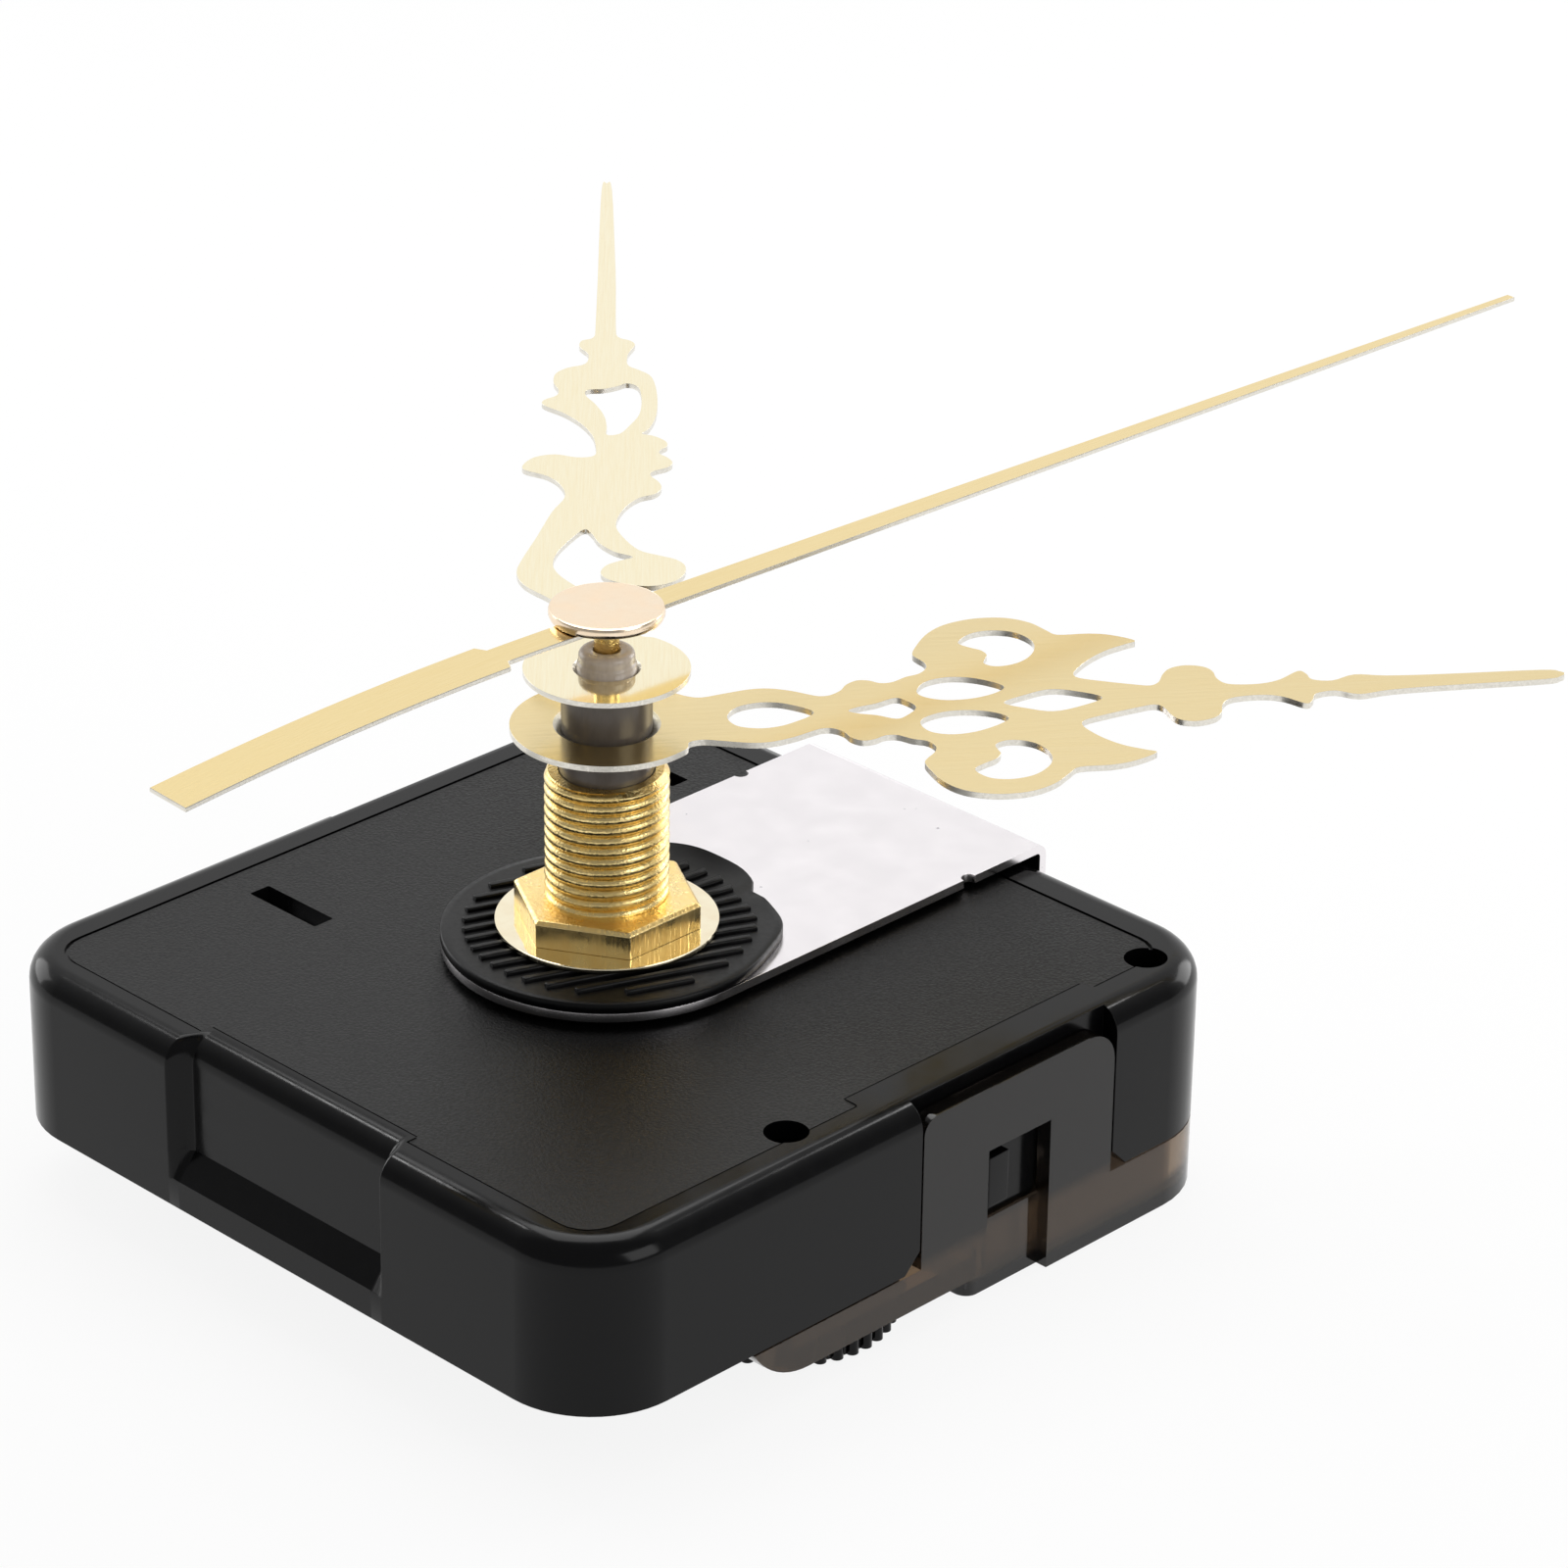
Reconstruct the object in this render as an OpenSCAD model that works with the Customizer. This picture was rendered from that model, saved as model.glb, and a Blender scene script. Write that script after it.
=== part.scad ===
// Quartz clock movement with hanging plate and three hands.
// Sizes in millimetres. The origin lies on the shaft axis, in the plane of the flat back.
// +Z runs along the shaft towards the dial, +Y points to twelve o'clock, +X to three o'clock.

/* [Case] */
// Width of the case, nine o'clock side to three o'clock side
case_w = 56; // [55:0.5:60]
// Length of the case, battery side to hanging side
case_l = 57.8; // [57:0.2:62]
// Height of the black front shell
shell_h = 11.6; // [11.4:0.1:13]
// Height of the back cover, from the flat back to the parting line
cover_h = 4.8; // [4.6:0.1:5.6]
// Radius of the upright corners
corner_r = 6.5; // [5:0.5:8]
// Radius of the rounded edge round the front face
edge_r = 1.8; // [1:0.2:2]
// Thickness of the shell walls
wall = 1.3; // [1.1:0.1:1.5]
// How far the case middle lies to the three o'clock side of the shaft
case_x = 0.3; // [0:0.1:0.6]
// How far the case middle lies to the twelve o'clock side of the shaft
case_y = 0.4; // [0:0.1:0.6]
// Thickness of the back cover
cover_wall = 1.2; // [1:0.1:1.4]
// Depth of the recess round the setting knob
knob_recess = 2; // [1.8:0.1:2.2]

/* [Battery bay] */
// Diameter of the round cell
cell_d = 14.5; // [14:0.1:14.5]
// Length of the round cell
cell_l = 50.5; // [49.5:0.5:50.5]
// Thickness of the wall beside the finger recess
bay_wall = 2.4; // [2.2:0.1:2.4]
// Depth of the finger recess in the battery side
finger_depth = 1.45; // [1:0.05:1.5]
// Width of the finger recess
finger_w = 18.4; // [14:0.2:22]

/* [Latches] */
// Width of the latch tongue on each side
latch_w = 17.8; // [14:0.2:18]
// How far the latch middle lies to the twelve o'clock side
latch_y = 8.7; // [8.2:0.1:9]
// Thickness of the latch tongue
latch_t = 1.1; // [0.9:0.1:1.2]
// Width of the window in the tongue
window_w = 5.7; // [4.5:0.1:6.5]

/* [Bush and fastening] */
// Outside diameter of the bush thread
thread_d = 8; // [7.6:0.1:8.2]
// How far the bush stands out of the front face
bush_h = 13; // [12:0.5:14]
// Distance across the flats of the nut
nut_af = 10.8; // [10.4:0.1:12]
// Thickness of the nut
nut_h = 1.85; // [1.4:0.05:2]
// Diameter of the flat washer
washer_d = 14.45; // [13.5:0.05:15]
// Thickness of the flat washer
washer_t = 0.35; // [0.3:0.05:0.5]
// Diameter of the rubber gasket
gasket_d = 21.4; // [20:0.1:22]
// Thickness of the rubber gasket
gasket_t = 1; // [0.8:0.1:1.2]

/* [Hanging plate] */
// Width of the hanging plate
hanger_w = 21.3; // [20.5:0.1:22]
// Thickness of its sheet
hanger_t = 0.6; // [0.5:0.1:0.7]
// Gap between the front face and the plate
hanger_lift = 0.4; // [0.3:0.1:0.5]
// How far the hanging tab stands out behind the case
tab_l = 11; // [10:0.5:14]
// Radius of the round part of the hanging hole
hang_hole_r = 3; // [2.6:0.1:3.2]

/* [Hands] */
// Height of the hour hand's upper face over the case front
hour_hand_z = 16.05; // [15.8:0.05:16.2]
// Height of the minute hand's upper face over the case front
minute_hand_z = 19.98; // [19.6:0.02:20.2]
// Height of the second hand's upper face over the case front
second_hand_z = 23.45; // [23.2:0.05:23.8]
// Thickness of the hour hand
hour_hand_t = 0.4; // [0.3:0.05:0.5]
// Thickness of the minute hand
minute_hand_t = 0.35; // [0.3:0.05:0.45]
// Thickness of the second hand
second_hand_t = 0.3; // [0.25:0.05:0.35]
// Radius of the round end of the hour hand
hour_ring_r = 6.15; // [5.5:0.05:6.5]
// Radius of the round end of the minute hand
minute_ring_r = 5.29; // [4.8:0.01:5.5]
// Reach of the second hand from the shaft
second_reach = 84; // [60:1:90]
// Reach of the second hand's tail
second_tail = 34; // [25:1:40]
// Diameter of the cap over the second hand
cap_d = 7.36; // [6.5:0.02:7.6]
// Direction of the hour hand, counted from three o'clock
hour_turn = 53.2; // [0:0.1:360]
// Direction of the minute hand
minute_turn = 136.4; // [0:0.1:360]
// Direction of the second hand
second_turn = 86.6; // [0:0.1:360]

/* [Shafts] */
// Radius of the hour tube
hour_tube_r = 3.05; // [2.95:0.05:3.15]
// Radius of the minute tube inside the hour tube
minute_tube_r = 2.2; // [2.1:0.05:2.3]
// Radius of the minute tube's upper end, which carries the minute hand
minute_seat_r = 1.9; // [1.6:0.05:2]
// Radius of the second arbor
second_arbor_r = 0.4; // [0.35:0.05:0.45]
// Running clearance round each shaft
run_gap = 0.06; // [0.04:0.01:0.08]

/* [Gears] */
// Teeth of the rotor pinion
rotor_teeth = 10; // [10:1:10]
// Teeth of the intermediate wheel
inter_teeth = 60; // [60:1:60]
// Teeth of the intermediate pinion
inter_leaves = 12; // [12:1:12]
// Teeth of the second wheel
second_teeth = 60; // [60:1:60]
// Leaves of the second pinion
second_leaves = 8; // [8:1:8]
// Teeth of the third wheel
third_teeth = 60; // [60:1:60]
// Leaves of the third pinion
third_leaves = 8; // [8:1:8]
// Teeth of the centre wheel
centre_teeth = 64; // [64:1:64]
// Teeth of the cannon pinion on the minute tube
cannon_teeth = 15; // [15:1:15]
// Teeth of the minute work wheel
work_teeth = 45; // [45:1:45]
// Leaves of the minute work pinion
work_leaves = 12; // [12:1:12]
// Teeth of the hour wheel
hour_teeth = 48; // [48:1:48]
// Teeth of the setting pinion on the knob
setting_teeth = 15; // [15:1:15]
// Distance from the rotor to the intermediate arbor
rotor_reach = 7; // [6.8:0.1:7.2]
// Distance from the shaft to the intermediate arbor
inter_reach = 7.92; // [7.8:0.04:8]
// Distance from the shaft to the third arbor
third_reach = 10.2; // [10.1:0.05:10.3]
// Distance from the shaft to the minute work arbor, and from there to the knob
work_reach = 10.5; // [10.4:0.05:10.6]
// Radius of the setting knob
knob_r = 7.16; // [6.6:0.02:7.3]
// Ribs round the setting knob
knob_ribs = 37; // [30:1:44]

/* [Motor and circuit] */
// Radius of the rotor magnet
magnet_r = 3; // [2.6:0.1:3]
// Radius of the hole round the magnet
stator_hole_r = 3.4; // [3.3:0.1:3.6]
// Thickness of the stator and of the coil core
stator_t = 1; // [0.8:0.1:1.1]
// Radius of the coil former's end plates
flange_r = 3.5; // [3:0.1:3.5]
// Radius of the copper winding
winding_r = 2.9; // [2.4:0.1:3]
// Length of the winding
winding_l = 15; // [12:0.5:15]
// Thickness of the circuit board
board_t = 0.8; // [0.6:0.1:1]
// Thickness of the contact strips
strip_t = 0.3; // [0.2:0.05:0.35]

/* [Hidden] */

// A hair added to each cut so that it passes right through
cut = 0.5;
// Gap between two faces of one body that only meet
seat_gap = 0.02;

// Places along the shaft
face_z = cover_h + shell_h;
ceiling_z = face_z - wall;
recess_z = knob_recess + cover_wall;
boss_z = face_z + hanger_lift;
gasket_z = boss_z + hanger_t;
washer_z = gasket_z + gasket_t;
nut_z = washer_z + washer_t;
nut_top_z = nut_z + nut_h;
bush_top_z = face_z + bush_h;

// Sides of the case
left_x = case_x - case_w / 2;
right_x = case_x + case_w / 2;
near_y = case_y - case_l / 2;
far_y = case_y + case_l / 2;

// The battery bay and the wall that divides it from the wheels
cell_r = cell_d / 2;
cell_gap = 0.1;
bay_y = near_y + bay_wall;
cell_y = bay_y + cell_r + cell_gap;
divider_t = 1.2;
divider_y = cell_y + cell_r + cell_gap;
cover_y = divider_y - 0.6;
ear_y = cover_y - 2.7;
ear_in = 1.7;

// Latches
latch_gap = 0.15;
latch_low = latch_y - latch_w / 2;
latch_high = latch_y + latch_w / 2;
latch_top_z = face_z - 1.1;
window_y = latch_y + 0.05;
window_top_z = face_z - 5.6;
window_low_z = face_z - 10.2;
channel_d = 0.85;
pad_t = 1.4;

// Arbors of the train, seen from the front
inter_dir = 160;
rotor_dir = 110;
third_dir = 120;
knob_at = [20.34, -3.98];
knob_far = norm(knob_at);
knob_dir = atan2(knob_at[1], knob_at[0]);
work_side = acos(knob_far / 2 / work_reach);
inter_at = inter_reach * [cos(inter_dir), sin(inter_dir)];
rotor_at = inter_at + rotor_reach * [cos(rotor_dir), sin(rotor_dir)];
third_at = third_reach * [cos(third_dir), sin(third_dir)];
work_at = work_reach * [cos(knob_dir + work_side), sin(knob_dir + work_side)];
work_to_knob_dir = atan2(knob_at[1] - work_at[1], knob_at[0] - work_at[0]);

// Tooth sizes that make each pair fit its distance
rotor_m = 2 * rotor_reach / (rotor_teeth + inter_teeth);
inter_m = 2 * inter_reach / (inter_leaves + second_teeth);
third_m = 2 * third_reach / (second_leaves + third_teeth);
centre_m = 2 * third_reach / (third_leaves + centre_teeth);
cannon_m = 2 * work_reach / (cannon_teeth + work_teeth);
hour_m = 2 * work_reach / (work_leaves + hour_teeth);
setting_m = 2 * work_reach / (setting_teeth + work_teeth);
pressure = 25;
play = 0.14;
tooth_up = 0.85;
tooth_down = 1.15;

// Heights of the wheels over the back
plate_z = 7.4;
plate_t = 1;
plate_top = plate_z + plate_t;
wheel_t = 0.8;
inter_z = 3.2;
second_z = 5.6;
third_z = 8.9;
centre_z = 10.2;
clutch_z = centre_z + wheel_t;
cannon_z = 11.3;
work_z = 11.5;
work_leaf_z = work_z + wheel_t;
hour_z = 13.1;
hour_wheel_t = 1;
stator_z = 5.2;
core_z = stator_z + stator_t;
pivot_r = 0.3;
arbor_r = 0.5;
pivot_len = 0.9;

// Turn of each wheel that brings it into mesh with its mate
function mesh_turn(turn, teeth, mate, dir) = dir + 180 - (0.5 - (dir - turn) * teeth / 360) * 360 / mate;
second_wheel_turn = 0;
inter_leaf_turn = mesh_turn(second_wheel_turn, second_teeth, inter_leaves, inter_dir);
inter_wheel_turn = 0;
rotor_turn = mesh_turn(inter_wheel_turn, inter_teeth, rotor_teeth, rotor_dir);
third_wheel_turn = mesh_turn(second_wheel_turn, second_leaves, third_teeth, third_dir);
third_leaf_turn = 0;
centre_turn = mesh_turn(third_leaf_turn, third_leaves, centre_teeth, third_dir + 180);
cannon_turn = 0;
work_dir = knob_dir + work_side;
work_turn = mesh_turn(cannon_turn, cannon_teeth, work_teeth, work_dir);
work_leaf_turn = 0;
hour_wheel_turn = mesh_turn(work_leaf_turn, work_leaves, hour_teeth, work_dir + 180);
setting_turn = mesh_turn(work_turn, work_teeth, setting_teeth, work_to_knob_dir);

// The coil
coil_y = far_y - wall - 5.4;
coil_x = -6;
core_w = 3;
core_l = winding_l + 9;
flange_t = 1;
coil_z = core_z + stator_t / 2;

// The board and what it carries
board_z = 4.4;
board_left = 9.5;
board_right = right_x - wall - pad_t - 0.25;
board_low = 7.5;
board_high = far_y - wall - 1.6;
arm_left = 22.4;
arm_low = divider_y + divider_t + 0.8;

// Shapes that repeat
module rounded(w, l, r) {
    square([w - 2 * r, l], center = true);
    square([w, l - 2 * r], center = true);
    for (sx = [-1, 1], sy = [-1, 1])
        translate([sx * (w / 2 - r), sy * (l / 2 - r)])
            circle(r, $fn = 64);
}

// Rounded edge in short straight steps, so that corners are cones and sides are flats
edge_steps = 5;
module rounded_block(w, l, h, r, edge) {
    curve = [for (k = [0 : edge_steps]) let (a = k * 90 / edge_steps) [edge * (cos(a) - 1), h - edge + edge * sin(a)]];
    back = [for (k = [edge_steps : -1 : 0]) [-curve[k][0], curve[k][1]]];
    translate([-(w / 2 - r), 0, 0])
        rotate([90, 0, 90])
            linear_extrude(w - 2 * r)
                polygon(concat([[-l / 2, 0], [l / 2, 0]], [for (p = curve) p + [l / 2, 0]], [for (p = back) p - [l / 2, 0]]));
    translate([0, l / 2 - r, 0])
        rotate([90, 0, 0])
            linear_extrude(l - 2 * r)
                polygon(concat([[-w / 2, 0], [w / 2, 0]], [for (p = curve) p + [w / 2, 0]], [for (p = back) p - [w / 2, 0]]));
    for (sx = [-1, 1], sy = [-1, 1])
        translate([sx * (w / 2 - r), sy * (l / 2 - r), 0])
            rotate_extrude($fn = 64)
                polygon(concat([[0, 0], [r, 0]], [for (p = curve) p + [r, 0]], [[0, h]]));
}

module rod(at, r, z0, z1) {
    translate([at[0], at[1], z0])
        cylinder(r = r, h = z1 - z0, $fn = 48);
}

module block(low, high) {
    translate(low)
        cube(high - low);
}

module slab(z0, z1) {
    translate([0, 0, z0])
        linear_extrude(z1 - z0)
            children();
}

// Angle between the middle of a tooth and its flank at radius r
function roll(a) = tan(a) - a * PI / 180;
function flank(r, base, at_pitch) = at_pitch + (r <= base ? roll(pressure)
    : roll(pressure) - roll(acos(base / r))) * 180 / PI;
function spot(r, a) = [r * cos(a), r * sin(a)];

module gear(teeth, size, turn) {
    pitch_r = teeth * size / 2;
    base_r = pitch_r * cos(pressure);
    tip_r = pitch_r + tooth_up * size;
    root_r = pitch_r - tooth_down * size;
    half = 90 / teeth * (1 - play);
    radii = teeth < 20 ? [root_r, max(base_r, root_r + 0.02), pitch_r, tip_r] : [root_r, pitch_r, tip_r];
    last = len(radii) - 1;
    outline = [for (i = [0 : teeth - 1], side = [-1, 1], k = [0 : last])
        let (r = radii[side < 0 ? k : last - k])
            spot(r, i * 360 / teeth + turn + side * flank(r, base_r, half))];
    polygon(outline);
}

module toothed(at, teeth, size, turn, z0, z1) {
    translate([at[0], at[1], z0])
        linear_extrude(z1 - z0)
            gear(teeth, size, turn);
}

// A wheel with four windows between its rim and its hub
module windows(at, inner, outer, z0, z1) {
    mid = (inner + outer) / 2;
    for (a = [45 : 90 : 315])
        rod(at + spot(mid, a), (outer - inner) / 2 - 0.1, z0 - cut, z1 + cut);
}

// A smooth closed line through a few points
function weight(p0, p1, p2, p3, t) = 0.5 * (2 * p1 + (p2 - p0) * t
    + (2 * p0 - 5 * p1 + 4 * p2 - p3) * t * t + (3 * p1 - p0 - 3 * p2 + p3) * t * t * t);
function smooth(p, steps) = [for (i = [0 : len(p) - 1], s = [0 : steps - 1])
    weight(p[(i + len(p) - 1) % len(p)], p[i], p[(i + 1) % len(p)], p[(i + 2) % len(p)], s / steps)];

// CASE
module latch_notch(side) {
    x0 = side > 0 ? right_x - latch_t - latch_gap : left_x - cut;
    x1 = side > 0 ? right_x + cut : left_x + latch_t + latch_gap;
    slope = 1.3;
    outline = [[latch_low - slope, cover_h - cut], [latch_low - slope, cover_h], [latch_low, cover_h + slope],
        [latch_low, face_z + cut], [latch_high, face_z + cut], [latch_high, cover_h + slope],
        [latch_high + slope, cover_h], [latch_high + slope, cover_h - cut]];
    translate([x0, 0, 0])
        rotate([90, 0, 90])
            linear_extrude(x1 - x0)
                polygon(outline);
}

module latch_back(side) {
    edge = side > 0 ? right_x - wall : left_x + wall;
    low_x = min(edge, edge - side * pad_t);
    high_x = max(edge, edge - side * pad_t);
    block([low_x, latch_low - 1.3, cover_h], [high_x, latch_high + 1.3, ceiling_z + 0.1]);
}

module latch_catch(side) {
    edge = side > 0 ? right_x : left_x;
    reach = latch_t + latch_gap;
    low_x = min(edge - side * reach, edge - side * 0.25);
    high_x = max(edge - side * reach, edge - side * 0.25);
    catch_y = window_y - window_w / 2 + 0.3;
    block([low_x, catch_y, window_low_z + 0.2], [high_x, catch_y + 1.9, window_top_z - 0.8]);
}

module finger_recess() {
    z_in = face_z - 8.3;
    z_out = face_z - 9.4;
    outline = [[near_y - cut, z_out - 0.4], [near_y, z_out], [near_y + finger_depth, z_in],
        [near_y + finger_depth, face_z + cut], [near_y - cut, face_z + cut]];
    translate([-finger_w / 2, 0, 0])
        rotate([90, 0, 90])
            linear_extrude(finger_w)
                polygon(outline);
}

// The two rooms inside the shell, with the divider left standing between them
module train_room() {
    intersection() {
        translate([case_x, case_y])
            rounded(case_w - 2 * wall, case_l - 2 * wall, corner_r - wall);
        translate([left_x, divider_y + divider_t])
            square([case_w, case_l]);
    }
}

module bay_room() {
    translate([case_x, (bay_y + divider_y) / 2])
        rounded(case_w - 2 * wall, divider_y - bay_y, 1.2);
}

post_low = plate_z - 0.4;
plate_near = divider_y + divider_t + 0.1;
plate_far = coil_y - flange_r - 1.8;
posts = [[-14.5, -8.2], [14, -9.2], [-15.2, plate_far - 2.7], [12.6, plate_far - 2.5]];
board_post = [18, board_high - 2.2];
module front_case() color("#1b1b1d")
    difference() {
        union() {
            difference() {
                translate([case_x, case_y, cover_h])
                    rounded_block(case_w, case_l, shell_h, corner_r, edge_r);
                slab(cover_h - cut, ceiling_z) {
                    train_room();
                    bay_room();
                }
            }
            latch_back(1);
            latch_back(-1);
            rod([0, 0], 9, face_z - 0.1, boss_z);
            for (p = posts) {
                rod(p, 1.2, plate_top, ceiling_z + 0.1);
                rod(p, 0.6, post_low, plate_top + 0.1);
            }
            rod(board_post, 1.3, board_z + board_t, ceiling_z + 0.1);
            rod(board_post, 0.6, board_z - 0.4, board_z + board_t + 0.1);
            rod(third_at, 0.95, 11.9, ceiling_z + 0.1);
            rod(work_at, 1.2, 14.5, ceiling_z + 0.1);
            rod(knob_at, 1.8, 14.3, ceiling_z + 0.1);
        }
        finger_recess();
        latch_notch(1);
        latch_notch(-1);
        rod([0, 0], 5 + seat_gap, ceiling_z - 1, boss_z + cut);
        rod([24.6, -8.4], 1.42, ceiling_z - cut, face_z + cut);
        rod([24.8, 24.1], 1.42, ceiling_z - cut, face_z + cut);
        block([-21.7, -11.5, ceiling_z - 1.2], [-15.3, -9.9, face_z + cut]);
        block([-20.3, 19.35, ceiling_z - cut], [-13.9, 20.85, face_z + cut]);
        rod(third_at, arbor_r + run_gap, 11.9 - cut, 13);
        rod(work_at, arbor_r + run_gap, 14.5 - cut, 15.3);
        rod(knob_at, 0.8 + run_gap, 14.3 - cut, 15.3);
        block([left_x + wall, divider_y - 1.4, cover_h - cut], [left_x + wall + 1, divider_y + divider_t + cut, 8]);
        block([right_x - wall - 1, divider_y - 1.4, cover_h - cut], [right_x - wall, divider_y + divider_t + cut, 8.4]);
    }

module both_catches() color("#1b1b1d") {
    latch_catch(1);
    latch_catch(-1);
}

// BACK COVER
pocket_x = knob_at[0] - knob_r - 1;
pocket_y = knob_at[1] + knob_r + 1.9;
strip_r = 1;
ear_r = 5.5;
ear_run = 4.8;
ear_lift = ear_r - sqrt(ear_r * ear_r - ear_run * ear_run);
module cover_outline(inset) {
    intersection() {
        translate([case_x, case_y])
            rounded(case_w - 2 * inset, case_l - 2 * inset, corner_r - inset);
        union() {
            translate([left_x - cut, cover_y + inset])
                square([case_w + 2 * cut, case_l]);
            if (inset == 0)
                for (x0 = [left_x - cut, right_x - ear_in])
                    translate([x0, ear_y])
                        square([ear_in + cut, case_l]);
        }
    }
}

module pocket_outline(grow) {
    r = 3;
    difference() {
        translate([pocket_x - grow, near_y - cut])
            square([case_w, pocket_y + grow - near_y + cut]);
        translate([pocket_x - grow - cut, pocket_y + grow - r])
            square([r + cut, r + cut]);
    }
    translate([pocket_x - grow + r, pocket_y + grow - r])
        circle(r, $fn = 48);
    strip_x = right_x - channel_d - grow;
    translate([strip_x, pocket_y + grow - 1])
        square([case_w, window_y - window_w / 2 - pocket_y + 1.1]);
    difference() {
        translate([strip_x - strip_r, pocket_y + grow - 0.1])
            square([strip_r + 0.1, strip_r + 0.1]);
        translate([strip_x - strip_r, pocket_y + grow + strip_r])
            circle(strip_r, $fn = 48);
    }
}

// The two ears beside the bay have a round lower edge
module ear_edge(side) {
    r = ear_r;
    base = side > 0 ? knob_recess : 0;
    x0 = side > 0 ? right_x - ear_in - 0.1 : left_x - cut;
    difference() {
        block([x0, ear_y - cut, base - cut], [x0 + ear_in + cut + 0.1, ear_y + ear_run, base + ear_lift]);
        translate([x0 - 1, ear_y + ear_run, base + r])
            rotate([0, 90, 0])
                cylinder(r = r, h = ear_in + 4, $fn = 96);
    }
}

module latch_tongue(side) {
    edge = side > 0 ? right_x - latch_t : left_x;
    r_near = 1.2;
    r_far = 2.4;
    y0 = latch_low + latch_gap;
    y1 = latch_high - latch_gap;
    translate([edge, 0, 0])
        rotate([90, 0, 90])
            linear_extrude(latch_t)
                difference() {
                    union() {
                        translate([y0, cover_h - 0.2])
                            square([y1 - y0, latch_top_z - r_far - cover_h + 0.2]);
                        translate([y0 + r_near, cover_h])
                            square([y1 - y0 - r_near - r_far, latch_top_z - cover_h]);
                        translate([y0, latch_top_z - r_far - 0.1])
                            square([r_near + 0.1, r_far - r_near + 0.1]);
                        translate([y0 + r_near, latch_top_z - r_near])
                            circle(r_near, $fn = 48);
                        translate([y1 - r_far, latch_top_z - r_far])
                            circle(r_far, $fn = 48);
                    }
                    translate([window_y - window_w / 2, window_low_z])
                        square([window_w, window_top_z - window_low_z]);
                }
}

module channel(side) {
    x0 = side > 0 ? right_x - channel_d : left_x - cut;
    block([x0, window_y - window_w / 2, -cut], [x0 + channel_d + cut, window_y + window_w / 2, window_low_z + 0.1]);
}

module channel_pad(side) {
    x0 = side > 0 ? right_x - cover_wall - 1 : left_x + cover_wall - 0.2;
    block([x0, window_y - window_w / 2 - 0.6, 0.5], [x0 + 1.2, window_y + window_w / 2 + 0.6, cover_h]);
}

module back_cover() color("#6f655c", 0.6)
    difference() {
        union() {
            difference() {
                slab(0, cover_h)
                    cover_outline(0);
                slab(cover_wall, cover_h + cut)
                    difference() {
                        cover_outline(cover_wall);
                        pocket_outline(cover_wall);
                    }
                slab(recess_z, cover_h + cut)
                    cover_outline(cover_wall);
            }
            latch_tongue(1);
            latch_tongue(-1);
            channel_pad(1);
            channel_pad(-1);
            rod([0, 0], 1.3, cover_wall - 0.1, 4.6);
            rod(inter_at, 1.1, cover_wall - 0.1, 2.9);
            rod(rotor_at, 1, cover_wall - 0.1, 2.5);
        }
        slab(-cut, knob_recess)
            pocket_outline(0);
        channel(1);
        channel(-1);
        ear_edge(1);
        ear_edge(-1);
        rod(knob_at, 1.5 + run_gap, -cut, cover_h);
        rod([0, 0], second_arbor_r + run_gap, 2, cover_h);
        rod(inter_at, pivot_r + run_gap, 1.6, cover_h);
        rod(rotor_at, pivot_r + run_gap, 1.5, cover_h);
    }

// FASTENING STACK ON THE FRONT
core_r = 3.6;
bush_bore_r = hour_tube_r + run_gap;
module threaded_bush() color("#c9a24a")
    difference() {
        union() {
            rod([0, 0], 5, ceiling_z - 0.6, boss_z);
            rod([0, 0], core_r, boss_z - 0.1, nut_top_z + 0.1);
            rod([0, 0], thread_d / 2, nut_top_z + 0.05, bush_top_z - 0.45);
            rod([0, 0], core_r, bush_top_z - 0.5, bush_top_z);
        }
        rod([0, 0], bush_bore_r, ceiling_z - 2, bush_top_z + cut);
    }

module hex_nut() color("#d9ac52")
    difference() {
        translate([0, 0, nut_z])
            rotate(30)
                cylinder(r = nut_af / 2 / cos(30), h = nut_h, $fn = 6);
        rod([0, 0], core_r + seat_gap, nut_z - cut, nut_top_z + cut);
    }

module flat_washer() color("#e6c583")
    difference() {
        rod([0, 0], washer_d / 2, washer_z, nut_z);
        rod([0, 0], core_r + 0.1, washer_z - cut, nut_z + cut);
    }

module rubber_gasket() color("#2c2c2e")
    difference() {
        rod([0, 0], gasket_d / 2, gasket_z, washer_z);
        rod([0, 0], core_r + 0.2, gasket_z - cut, washer_z + cut);
    }

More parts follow.
